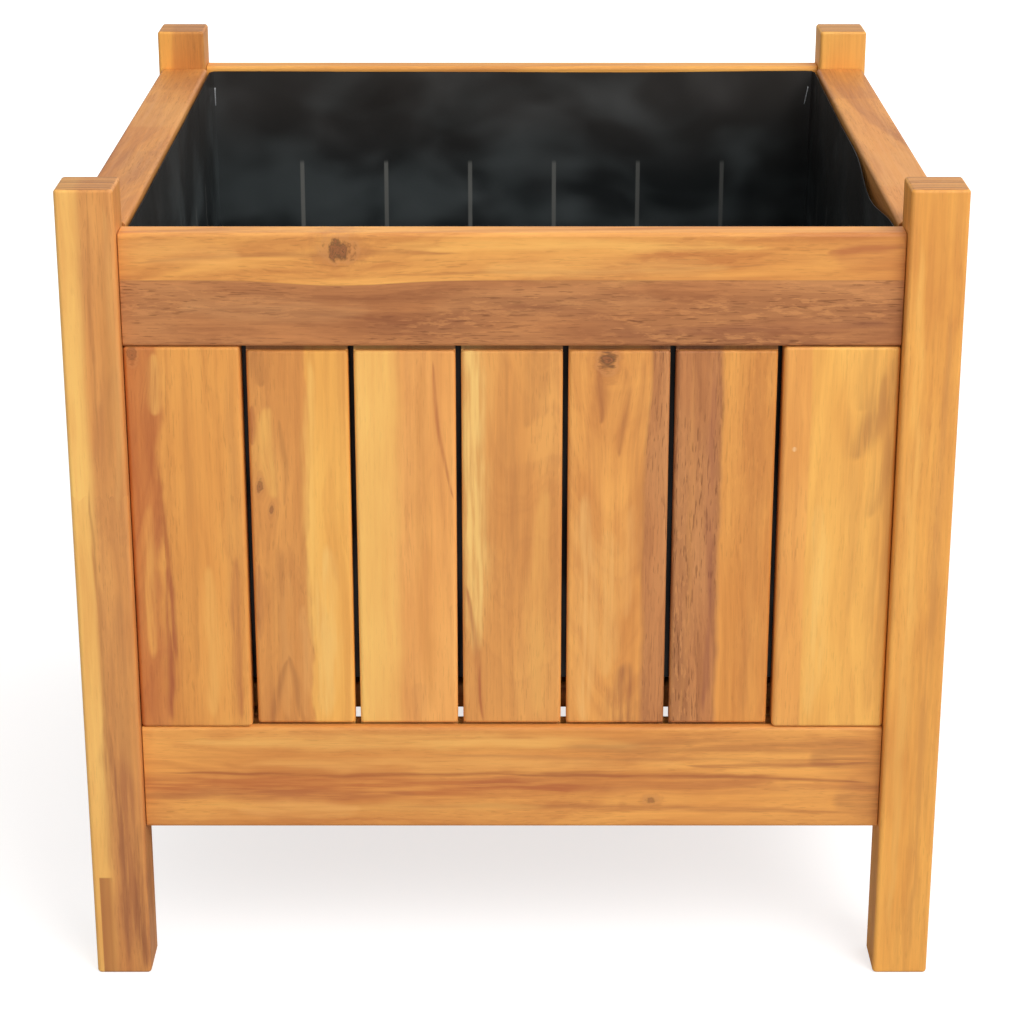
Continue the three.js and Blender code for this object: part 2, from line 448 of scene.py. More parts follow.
class AcaciaGroup:
    """The node group that paints oiled acacia, shared by all boards."""

    NAME = "oiled_acacia"
    INPUTS = {
        "Vector": ("Board", "Pith", "Lean"),
        "Float": ("Seed", "Ring", "Figure", "Streaks", "Flecks"),
        "Color": ("Light", "Dark", "Streak"),
    }
    OUTPUTS = {"Color": ("Color",), "Float": ("Roughness", "Height")}
    SEED_STEP = (17.3, 5.1, 9.7)
    RING_SEED_STEP = 3.7
    SHARES = {"bands": 0.5, "tone": 0.2, "long": 0.28, "lines": 0.15, "silk": 0.16}
    PALE_SHARE = 0.2
    PORE = "9A8A80"
    COOL = (0.97, 0.9, 0.86, 1.0)
    WARM = (1.05, 1.06, 1.06, 1.0)

    def build(self) -> Tree:
        """Build the group."""
        g = new_tree(self.NAME, "ShaderNodeTree", self.INPUTS, self.OUTPUTS)
        given = g.given()
        board, light, flecks = given["Board"], given["Light"], given["Flecks"]
        offset = g.vector("MULTIPLY", self.SEED_STEP, given["Seed"])

        def over(scale: Triple, detail: float = 1.0, rough: float = 0.5, color: bool = False) -> Wire:
            """Give a noise over the board, shifted by the seed."""
            return g.noise(board * scale + offset, detail, rough, color)

        wide = (over((0.013, 0.02, 0.0042), 2.0, color=True) - 0.5) * (34.0, 26.0, 0.0)
        fine = (over((0.06, 0.06, 0.02), 3.0, color=True) - 0.5) * (7.5, 6.0, 0.0)
        moved = board + wide + fine
        from_heart = moved - given["Pith"] - given["Lean"] * g.split(board)[2]
        rings = g.vector("LENGTH", from_heart * (1.0, 1.0, 0.0)) / given["Ring"]

        def banded(rate: float, detail: float, low: float, high: float) -> Wire:
            """Give uneven bands that follow the growth rings."""
            line = rings * rate + given["Seed"] * self.RING_SEED_STEP
            return g.ramp(g.noise(line, detail, 0.6), low, high)

        fibre = over((0.75, 0.75, 0.014), 3.0, 0.6)
        layers = {
            "bands": banded(0.6, 3.0, 0.33, 0.68) * given["Figure"],
            "tone": g.ramp(over((0.03, 0.03, 0.0035), 2.0), 0.33, 0.67),
            "long": g.ramp(g.noise(moved * (0.22, 0.22, 0.004) + offset, 2.0, 0.6), 0.33, 0.67),
            "lines": banded(3.3, 2.0, 0.42, 0.78),
            "silk": g.ramp(fibre, 0.32, 0.68),
        }
        depth = sum(layers[name] * share for name, share in self.SHARES.items()) - self.PALE_SHARE
        color = g.mix(depth, light, given["Dark"])
        stain = banded(0.5, 2.0, 0.52, 0.7) * g.ramp(over((0.03, 0.03, 0.006)), 0.4, 0.58)
        color = g.mix(stain * given["Streaks"], color, given["Streak"])

        crowd = g.ramp(over((0.06, 0.06, 0.012)), 0.32, 0.62, 0.25, 1.0) * flecks
        pores = g.ramp(over((1.6, 1.6, 0.13)), 0.58, 0.7) * crowd
        shine = g.ramp(over((0.6, 0.6, 0.13), 3.0, 0.6), 0.5, 0.64) * crowd
        color = g.mix(pores * 0.6, color, shade(self.PORE), "MULTIPLY")
        color = g.mix(shine * 0.65, color, light)
        cloud = g.ramp(over((0.05, 0.05, 0.012), 2.0), 0.3, 0.7)
        color = g.mix(1.0, color, g.mix(cloud, self.COOL, self.WARM), "MULTIPLY")

        roughness = layers["silk"] * 0.08 + pores * 0.2 + 0.42
        height = layers["lines"] * 0.25 + fibre * 0.6 - pores * 0.8
        g.node("NodeGroupOutput", {"Color": color, "Roughness": roughness, "Height": height})
        return g.tree


@dataclass(frozen=True)
class WoodFinish:
    """Oiled acacia for one board.

    Attributes:
        name: The material's name.
        figure: What is seen in the board.
        lay: How the board lies.
        middle: The board's middle, in metres.
        shoulder: Distance from the middle to where the tongues start, which are darkened as painted shade, or
            0.
    """

    name: str
    figure: Figure
    lay: Lay
    middle: Triple
    shoulder: float = 0.0
    GLUE = "8A5A38"
    GLUE_BLEND = 0.5
    KNOT_HALO = "B0683A"
    KNOT_RIM = "E0A062"
    KNOT_DARK = "4C3C28"
    KNOT_BROWN = "A0623A"
    END_LIGHT = "CF8F50"
    END_DARK = "9A6234"
    END_SHARE = 0.75
    TONGUE_SHADE = (0.4, 0.4, 0.4, 1.0)
    TONGUE_PLAY = 0.05
    JOINT_TOOTH = 3.0
    JOINT_PITCH = 6.0
    JOINT_SEED_STEP = 1.7
    BUMP = (0.25, 0.25 * MM)
    GLOSS = 0.35

    def material(self, group: Tree) -> Paint:
        """Build the board's material.

        Args:
            group: The shared acacia group.

        Returns:
            The material.
        """
        made, g = new_paint(self.name)
        place = self._board_place(g)
        for knot in self.figure.knots:
            place = self._round_knot(g, place, knot)
        color, roughness, height = self._strips(g, group, place)
        for patch in self.figure.patches:
            color = self._patched(g, place, color, patch)
        for streak in self.figure.streaks:
            color = self._stained(g, place, color, streak)
        for knot in self.figure.knots:
            color = self._knotted(g, place, color, knot)
        color = self._end_grain(g, place, color)
        # Painted shade: past the shoulders, the tongues sit in the recess under the rails and are darkened in
        # the colour.
        if self.shoulder:
            along = abs(g.split(place)[2])
            tongue = g.math("GREATER_THAN", along, self.shoulder / MM + self.TONGUE_PLAY)
            color = g.mix(tongue, color, self.TONGUE_SHADE, "MULTIPLY")
        g.feed("Principled BSDF", {
            "Base Color": color, "Roughness": roughness, "Normal": g.bump(*self.BUMP, height),
            "Specular IOR Level": self.GLOSS,
        })
        return made

    def _board_place(self, g: Graph) -> Wire:
        """Give the place on the board in millimetres: across, through, along."""
        axes = g.split((g.place() - self.middle) * (1 / MM))
        return g.combine(*(axes[axis] for axis in self.lay.value))

    def _round_knot(self, g: Graph, place: Wire, knot: Knot) -> Wire:
        """Bend the grain round a knot."""
        across, through, along = g.split(place)
        aside = across - knot.across
        far = (aside / (2.4 * knot.radius)) ** 2.0 + ((along - knot.along) / (5.0 * knot.radius)) ** 2.0
        return g.combine(across - aside * g.fade(far) * knot.flow, through, along)

    def _jointed_seed(self, g: Graph, place: Wire) -> Value:
        """Change the wood at each finger joint along the board."""
        if not self.figure.joints:
            return 0.0
        across, _, along = g.split(place)
        teeth = g.math("PINGPONG", across, self.JOINT_PITCH / 2)
        edge = teeth * (2 * self.JOINT_TOOTH / self.JOINT_PITCH) + along
        return sum(g.math("GREATER_THAN", edge, joint) * self.JOINT_SEED_STEP for joint in self.figure.joints)

    def _strips(self, g: Graph, group: Tree, place: Wire) -> list[Wire]:
        """Paint the glued strips side by side.

        Args:
            g: The material's graph.
            group: The shared acacia group.
            place: The place on the board.

        Returns:
            The colour, the roughness and the relief's height.
        """
        across = g.split(place)[0]
        seed = self._jointed_seed(g, place)
        mixed: list[Wire] = []
        for strip in self.figure.strips:
            tone = strip.tone
            call = g.node("ShaderNodeGroup", node_tree=group)
            g.feed(call.name, {
                "Board": place, "Seed": seed + strip.seed, "Ring": tone.ring,
                "Pith": (*strip.pith, 0.0), "Lean": (*strip.lean, 0.0),
                "Light": shade(tone.light), "Dark": shade(tone.dark), "Streak": shade(tone.streak),
                "Figure": tone.figure, "Streaks": tone.streaks, "Flecks": tone.flecks,
            })
            painted = [Wire(g, socket) for socket in call.outputs]
            if not mixed:
                mixed = painted
                continue
            edge = across - strip.start
            if strip.waver:
                drift = g.noise(place * (0.02, 0.02, 0.022), 3.0, 0.6) - 0.5
                edge = drift * (4 * strip.waver) + edge
            here = g.ramp(edge, -strip.blend, strip.blend)
            color = g.mix(here, mixed[0], painted[0])
            if strip.blend < self.GLUE_BLEND:
                color = g.mix(g.ramp(abs(edge), 0.15, 0.6, 0.14, 0.0), color, shade(self.GLUE))
            mixed = [color, *((new - old) * here + old for old, new in zip(mixed[1:], painted[1:]))]
        return mixed

    def _patched(self, g: Graph, place: Wire, color: Wire, patch: Patch) -> Wire:
        """Tint one piece that is let into the board."""
        across, _, along = g.split(place)
        left = g.ramp(across, patch.left - 0.3, patch.left + 0.3)
        right = g.ramp(across, patch.right + 1.5, patch.right - 1.5)
        inside = left * right * g.ramp(along, patch.top + 0.3, patch.top - 0.3)
        return g.mix(inside * patch.strength, color, shade(patch.color))

    def _stained(self, g: Graph, place: Wire, color: Wire, streak: Streak) -> Wire:
        """Add one streak over the colour."""
        across, _, along = g.split(place)
        (a0, w0), (a1, w1) = streak.start, streak.end
        run = (along - w0) / (w1 - w0)
        arch = (1.0 - run) * run
        waver = g.noise(place * (0.02, 0.02, 0.03), 2.0) - 0.5
        line = run * (a1 - a0) + a0 + arch * (4 * streak.bow) + waver * (1.2 * streak.width + 2.0)
        width = g.math("MAXIMUM", arch * 4.0, 0.001) ** 0.6 * streak.width + 0.05
        body = g.fade(abs((across - line) / width) ** 2.5)
        grain = g.ramp(g.noise(place * (0.5, 0.5, 0.03), 3.0), 0.3, 0.62, 0.3, 1.0)
        cover = body * g.ramp(arch, 0.0, 0.07) * grain
        return g.mix(cover * streak.strength, color, shade(streak.color))

    def _knotted(self, g: Graph, place: Wire, color: Wire, knot: Knot) -> Wire:
        """Paint one knot over the colour: a ragged dark heart, a pale rim and a soft halo."""
        across, _, along = g.split(place)
        aside = (across - knot.across) / (knot.radius * (1 - knot.flow))
        ahead = (along - knot.along) / (knot.radius * knot.stretch)
        ragged = g.noise(place * (0.34, 0.3, 0.3), 3.0, 0.65) - 0.5
        far = ragged * 2.2 + g.vector("LENGTH", g.combine(aside, ahead, 0.0))
        color = g.mix(g.ramp(far, 0.9, 2.4, 0.5 * knot.strength, 0.0), color, shade(self.KNOT_HALO))
        rim = g.ramp(far, 0.75, 1.05) * g.ramp(far, 1.5, 1.1)
        color = g.mix(rim * (0.35 * knot.strength), color, shade(self.KNOT_RIM))
        rings = g.ramp(g.noise(far * 4.0, 2.0), 0.35, 0.65)
        heart = g.mix(rings, shade(self.KNOT_DARK), shade(self.KNOT_BROWN))
        return g.mix(g.ramp(far, 0.45, 1.0, knot.strength, 0.0), color, heart)

    def _end_grain(self, g: Graph, place: Wire, color: Wire) -> Wire:
        """Show the rings where the grain meets the surface end on."""
        facing = g.split(g.place("Normal"))[self.lay.value[2]]
        across, through, _ = g.split(place)
        ring = g.ramp(g.noise((across * across * 0.006 + through) * 0.4, 2.0, 0.6), 0.4, 0.62)
        cut = g.mix(self.END_SHARE, color, g.mix(ring, shade(self.END_LIGHT), shade(self.END_DARK)))
        return g.mix(g.ramp(abs(facing), 0.75, 0.97), color, cut)


@dataclass(frozen=True)
class FilmFinish:
    """Black liner film with a soft sheen and painted reflections in paler clouds, paler where light comes
    through the slat gaps.

    Attributes:
        name: The material's name.
        black: Colour code of the film.
        cloud: Colour code of its paler clouds, painted reflections of the soft light.
        dust: Colour code of the browner tone near its top.
        dust_from: Height where the browner tone starts.
        outer: Colour code of its outer face and rim, darkened as painted shade.
        glow: Colour code of the light that comes through.
    """

    name: str = "liner_film"
    black: str = "191C1D"
    cloud: str = "3D4243"
    dust: str = "3D3733"
    dust_from: float = 290 * MM
    outer: str = "0E0C0A"
    glow: str = "6A6A66"
    DUST_RISE = 70 * MM
    GLOW_STRENGTH = (0.95, 0.09)
    GLOW_WIDTH = (0.8 * MM, 1.5 * MM)
    ROUGHNESS = (0.29, 0.38)
    BUMP = (0.8, 11 * MM)

    def material(self, gaps: Sequence[float], half: Pair, floor: float, top: float) -> Paint:
        """Build the film's material.

        Args:
            gaps: Places of the slat gaps from the middle of a side.
            half: The liner's half width and half depth.
            floor: Height of the liner's floor.
            top: Height of the slats' upper ends.

        Returns:
            The material.
        """
        made, g = new_paint(self.name)
        spot, facing = g.place(), g.place("Normal")
        x, y, z = g.split(spot)
        bent = g.noise(spot * 9.0, 1.0, color=True) * 0.06 + spot
        # Painted reflection: paler clouds in the colour stand for soft reflections on the wavy film.
        cloud = g.ramp(g.noise(bent * (17.0, 17.0, 26.0), 2.0, 0.45), 0.42, 0.7)
        color = g.mix(cloud, shade(self.black), shade(self.cloud))
        # The film turns browner towards its top.
        browning = g.ramp(z, self.dust_from, self.dust_from + self.DUST_RISE, 0.0, 0.5)
        color = g.mix(browning, color, shade(self.dust))
        below = g.ramp(z, top - 1 * MM, top - 4 * MM) * g.ramp(z, floor, floor + 5 * MM)
        for run, wall, reach in ((x, y, half[1]), (y, x, half[0])):
            at_wall = g.ramp(abs(wall), reach - 7 * MM, reach - 5 * MM)
            glow = self._lines_of_light(g, run, gaps) * at_wall * below
            color = g.mix(glow, color, shade(self.glow))
        # Painted shade: the outer face and the top rim are darkened in the colour, so the rim shows no light
        # line.
        outside = g.ramp(g.vector("DOT_PRODUCT", facing, spot * (1.0, 1.0, 0.0)), 0.02, 0.05)
        rim = g.ramp(g.split(facing)[2], 0.4, 0.7) * g.ramp(z, top, top + 10 * MM)
        g.feed("Principled BSDF", {
            "Base Color": g.mix(g.math("MAXIMUM", outside, rim), color, shade(self.outer)),
            "Specular IOR Level": g.ramp(rim, 0.0, 1.0, 0.5, 0.05),
            "Roughness": g.ramp(g.noise(spot * 30.0, 2.0), 0.3, 0.7, *self.ROUGHNESS),
            "Normal": g.bump(*self.BUMP, g.noise(bent * (20.0, 20.0, 15.0), 1.5, 0.35)),
        })
        return made

    def _lines_of_light(self, g: Graph, run: Wire, gaps: Sequence[float]) -> Value:
        """Give how much light comes through the gaps along a wall, a little less from each to the next."""
        lit: Value = 0.0
        first, step = self.GLOW_STRENGTH
        for number, gap in enumerate(gaps):
            lit = g.math("MAXIMUM", lit, g.ramp(abs(run - gap), *self.GLOW_WIDTH, first - step * number, 0.0))
        return lit


@dataclass(frozen=True)
class MetalFinish:
    """Plated steel with fine turning marks.

    Attributes:
        name: The material's name.
        color: Its colour code.
        roughness: Its least roughness.
        metallic: How metallic it is, from 0 to 1.
    """

    name: str
    color: str = "A9ACAE"
    roughness: float = 0.32
    metallic: float = 1.0
    WORN = "C8CACC"
    MARKS = (900.0, 2600.0, 2600.0)
    MARK_ROUGHNESS = 0.15

    def material(self) -> Paint:
        """Build the metal's material."""
        made, g = new_paint(self.name)
        marks = g.ramp(g.noise(g.place() * self.MARKS, 2.0), 0.3, 0.7)
        g.feed("Principled BSDF", {
            "Base Color": g.mix(marks, shade(self.color), shade(self.WORN), "MULTIPLY"),
            "Roughness": marks * self.MARK_ROUGHNESS + self.roughness,
            "Metallic": self.metallic,
        })
        return made


def corners(node: str) -> Box:
    """Give the lowest and highest corner of a CAD node."""
    low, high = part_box(node)
    return Vector(low), Vector(high)


def trimmed(box: Box, axis: int, amount: float) -> Box:
    """Take an amount off both ends of a box along an axis."""
    low, high = box[0].copy(), box[1].copy()
    low[axis] += amount
    high[axis] -= amount
    return low, high


def narrowed(box: Box, axis: int, size: float) -> Box:
    """Give a box one size along an axis, about its middle."""
    return trimmed(box, axis, (box[1][axis] - box[0][axis] - size) / 2)


def piece_from(mesh: bpy.types.Mesh, name: str) -> Piece:
    """Put a mesh into the scene as an untransformed object."""
    made = bpy.data.objects.new(name, mesh)
    bpy.context.scene.collection.objects.link(made)
    return made


def piece_of(bm: Draft, name: str) -> Piece:
    """Turn the draft of a mesh into an object with its normals out."""
    bmesh.ops.recalc_face_normals(bm, faces=bm.faces)
    mesh = bpy.data.meshes.new(name)
    bm.to_mesh(mesh)
    bm.free()
    return piece_from(mesh, name)


def skin(bm: Draft, loops: Sequence[Sequence[Corner]]) -> None:
    """Join closed rings of vertices with faces, each ring to the next."""
    for one, two in zip(loops, loops[1:]):
        for step in range(len(one)):
            after = (step + 1) % len(one)
            bm.faces.new((one[step], two[step], two[after], one[after]))


def frozen(source: Piece, name: str) -> Piece:
    """Turn an object with modifiers into a plain mesh object and delete the source."""
    graph = bpy.context.evaluated_depsgraph_get()
    mesh = bpy.data.meshes.new_from_object(source.evaluated_get(graph), depsgraph=graph)
    bpy.data.objects.remove(source)
    mesh.name = name
    return piece_from(mesh, name)


def fastened(made: Piece) -> Piece:
    """Let a piece ride on the planter."""
    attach(made, BODY)
    return made


def seated(made: Piece, paint: Paint, node: str) -> Piece:
    """Dress a piece and let it stand for its CAD node.

    Args:
        made: The piece.
        paint: Its material.
        node: The CAD node it stands for.

    Returns:
        The same piece.
    """
    made.data.materials.clear()
    made.data.materials.append(paint)
    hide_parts(node)
    return fastened(made)


@dataclass(frozen=True)
class ScrewSize:
    """Sizes of a countersunk wood screw.

    Attributes:
        head_radius: Radius of the head.
        rim: Height of the head's straight rim.
        head_height: Height from the face to the end of the cone.
        shank_radius: Radius of the shank.
        tip: Length of the point.
        length: Length over all.
        socket_sides: Number of sides of the key socket.
        socket_radius: Radius of the key socket.
        socket_depth: Depth of the key socket.
    """

    head_radius: float = 4.0 * MM
    rim: float = 0.4 * MM
    head_height: float = 3.0 * MM
    shank_radius: float = 2.0 * MM
    tip: float = 5.0 * MM
    length: float = 50.0 * MM
    socket_sides: int = 6
    socket_radius: float = 1.5 * MM
    socket_depth: float = 1.8 * MM
    POINT = 0.2 * MM

    def profile(self) -> list[Pair]:
        """Give distance along and radius of each ring, from the face to the point."""
        return [
            (0.0, self.head_radius),
            (self.rim, self.head_radius),
            (self.head_height, self.shank_radius),
            (self.length - self.tip, self.shank_radius),
            (self.length, self.POINT),
        ]

    def inputs(self) -> dict[str, float]:
        """Give each size under the name of its node input."""
        return {name.replace("_", " ").title(): size for name, size in asdict(self).items()}


CORNER_SCREW = ScrewSize()
LEDGER_SCREW = ScrewSize(
    head_radius=3.6 * MM, head_height=2.6 * MM, shank_radius=1.7 * MM, length=28 * MM, socket_sides=4,
)
BRAD = ScrewSize(
    head_radius=0.9 * MM, rim=0.3 * MM, head_height=0.5 * MM, shank_radius=0.6 * MM, tip=1.5 * MM,
    length=22 * MM, socket_sides=12, socket_radius=0.3 * MM, socket_depth=0.15 * MM,
)


@dataclass(frozen=True)
class Joinery:
    """The sizes that the joints of posts, rails, stiles and slats share.

    Attributes:
        groove: Width and depth of the rails' grooves.
        tongue_thickness: Thickness of the tongues.
        tongue_inset: How much narrower than its board a tongue is, each side.
        stile_tongue: Length of a stile's tongues.
        slat_tongue: Length of a slat's tongues.
        tenon: Thickness, length and height of a side rail's tenon.
        tenon_shift: How far a tenon sits off its rail's middle, away from the groove.
        tenon_play: Play round a tenon.
        screw_start: Distance of the corner screws' heads from the middle.
        screw_play: Play round a screw.
    """

    groove: Pair = (5.6 * MM, 8.3 * MM)
    tongue_thickness: float = 5 * MM
    tongue_inset: float = 0.1 * MM
    stile_tongue: float = 8 * MM
    slat_tongue: float = 9 * MM
    tenon: Triple = (10 * MM, 9 * MM, 36 * MM)
    tenon_shift: float = 2 * MM
    tenon_play: float = 0.3 * MM
    screw_start: float = 199.5 * MM
    screw_play: float = 0.3 * MM


JOINERY = Joinery()


@dataclass(frozen=True)
class Hole:
    """A corner screw's hole through a board.

    Attributes:
        hand: The side that the screw goes in from.
        y: Where it is from front to rear.
        z: Its height.
        sides: Number of sides of the round hole.
    """

    hand: Hand
    y: float
    z: float
    sides: int = 32
    HEAD_ROOM = 2 * MM

    def cutter(self) -> Piece:
        """Turn the hole's cutter."""
        rings = [(along, radius + JOINERY.screw_play) for along, radius in CORNER_SCREW.profile()]
        rings[0] = (-self.HEAD_ROOM, rings[0][1])
        bm = bmesh.new()
        loops = [[self._vert(bm, *ring, step) for step in range(self.sides)] for ring in rings]
        skin(bm, loops)
        bm.faces.new(loops[0])
        bm.faces.new(loops[-1])
        return piece_of(bm, "hole")

    def _vert(self, bm: Draft, along: float, radius: float, step: int) -> Corner:
        """Add one vertex of a ring."""
        angle = math.tau * step / self.sides
        x = self.hand.value * (JOINERY.screw_start - along)
        return bm.verts.new((x, self.y + radius * math.cos(angle), self.z + radius * math.sin(angle)))


@dataclass
class Board:
    """One sanded board with its tongues, tenons, grooves and holes.

    Attributes:
        node: The CAD node it stands for, which is also the piece's name.
        lay: How it lies.
        figure: What is seen in its face.
        slot: A material slot name; not used.
        body: Lowest and highest corner of the board without tongues and tenons.
        added: Boxes that stand out of it.
        cut: Boxes cut out of it.
        holes: Screw holes.
        radius: Radius of its sanded long edges.
        end_radius: Radius of the edges round its ends.
        shoulder: Distance from its middle to where its tongues start, if it has any.
    """

    node: str
    lay: Lay
    figure: Figure
    slot: str
    body: Box
    added: Sequence[Box] = ()
    cut: Sequence[Box] = ()
    holes: Sequence[Hole] = ()
    radius: float = 2.0 * MM
    end_radius: float = 1.6 * MM
    shoulder: float = 0.0
    ROUNDING_STEPS = 4
    SHARP_ANGLE = math.radians(38)
    WELD = 1e-6

    def make(self, group: Tree) -> Piece:
        """Build the board, dress it and seat it on the frame.

        Args:
            group: The shared acacia group.

        Returns:
            The finished piece.
        """
        draft = self._blocks([self.body], rounded=True)
        tools = [("UNION", self._blocks(self.added))] if self.added else []
        tools += [("DIFFERENCE", self._blocks([box])) for box in self.cut]
        tools += [("DIFFERENCE", hole.cutter()) for hole in self.holes]
        for operation, tool in tools:
            step = draft.modifiers.new(operation.lower(), "BOOLEAN")
            step.operation, step.object, step.solver = operation, tool, "EXACT"
        made = frozen(draft, self.node)
        for _, tool in tools:
            bpy.data.objects.remove(tool)
        made = self._smoothed(made)
        middle = tuple((self.body[0] + self.body[1]) / 2)
        finish = WoodFinish(self.node + "_wood", self.figure, self.lay, middle, self.shoulder)
        return seated(made, finish.material(group), self.node)

    def _blocks(self, boxes: Iterable[Box], rounded: bool = False) -> Piece:
        """Build boxes as one object, with sanded edges where asked."""
        bm = bmesh.new()
        for low, high in boxes:
            place = Matrix.Translation((low + high) / 2) @ Matrix.Diagonal((*(high - low), 1.0))
            bmesh.ops.create_cube(bm, size=1.0, matrix=place)
        if rounded:
            grain = self.lay.value[2]
            long = [e for e in bm.edges if abs((e.verts[0].co - e.verts[1].co)[grain]) > self.radius]
            self._bevel(bm, long, self.radius)
            ends = {e for face in bm.faces if abs(face.normal[grain]) > 0.9 for e in face.edges}
            self._bevel(bm, list(ends), self.end_radius)
        return piece_of(bm, "block")

    def _bevel(self, bm: Draft, edges: list[bmesh.types.BMEdge], radius: float) -> None:
        """Round edges to a radius."""
        bmesh.ops.bevel(
            bm, geom=edges, offset=radius, segments=self.ROUNDING_STEPS, profile=0.5,
            affect="EDGES", clamp_overlap=True,
        )
        bm.normal_update()

    def _smoothed(self, made: Piece) -> Piece:
        """Shade the sanded edges round and keep the faces flat."""
        bm = bmesh.new()
        bm.from_mesh(made.data)
        bmesh.ops.remove_doubles(bm, verts=bm.verts, dist=self.WELD)
        bm.to_mesh(made.data)
        bm.free()
        made.data.shade_smooth()
        made.data.set_sharp_from_angle(angle=self.SHARP_ANGLE)
        weighted = made.modifiers.new("flat_faces", "WEIGHTED_NORMAL")
        weighted.keep_sharp, weighted.weight = True, 100
        return frozen(made, self.node)


@dataclass
class Yard:
    """The timber that the boards are picked from.

    Attributes:
        group: The shared acacia group.
        chance: The seeded source of every choice.
    """

    group: Tree
    chance: random.Random
    STAINS = ["A85E36", "B06A3E", "9C6A48", "F6BC6C"]
    WIDE = 30

    def figure(self, node: str, tone: Tone, width: float, length: float) -> Figure:
        """Give what is seen in a board: as the photograph shows it, or else picked by chance.

        Args:
            node: The board's CAD node.
            tone: Its main colour.
            width: Its width in millimetres.
            length: Its length in millimetres.

        Returns:
            The board's figure.
        """
        if node in SEEN_FIGURES:
            return SEEN_FIGURES[node]
        pick = self.chance
        strips = [self._strip(tone, WHOLE_BOARD)]
        if width > self.WIDE and pick.random() < 0.55:
            other = pick.choice([HONEY, AMBER, TAWNY, CHESTNUT])
            strips.append(self._strip(other, pick.uniform(-0.3, 0.3) * width))
        streaks = []
        for _ in range(pick.choice([0, 1, 1, 2])):
            side = pick.uniform(-0.4, 0.4) * width
            low = pick.uniform(-0.5, 0.0) * length
            high = low + pick.uniform(0.3, 0.7) * length
            streaks.append(Streak(
                pick.choice(self.STAINS), (side, low), (side + pick.uniform(-6, 6), high),
                pick.uniform(1.0, 4.0), pick.uniform(0.35, 0.6),
            ))
        knots = []
        if pick.random() < 0.3:
            knots.append(Knot(pick.uniform(-0.3, 0.3) * width, pick.uniform(-0.4, 0.4) * length,
                              pick.uniform(2.0, 4.5), strength=pick.uniform(0.5, 0.85)))
        return Figure(tuple(strips), tuple(streaks), tuple(knots))

    def _strip(self, tone: Tone, start: float) -> Strip:
        """Pick one strip."""
        pick = self.chance
        heart = (pick.uniform(-70, 70), pick.choice([-1, 1]) * pick.uniform(25, 110))
        lean = (pick.uniform(-0.06, 0.06), pick.uniform(-0.09, 0.09))
        return Strip(tone, start, pick.uniform(0, 40), heart, lean)


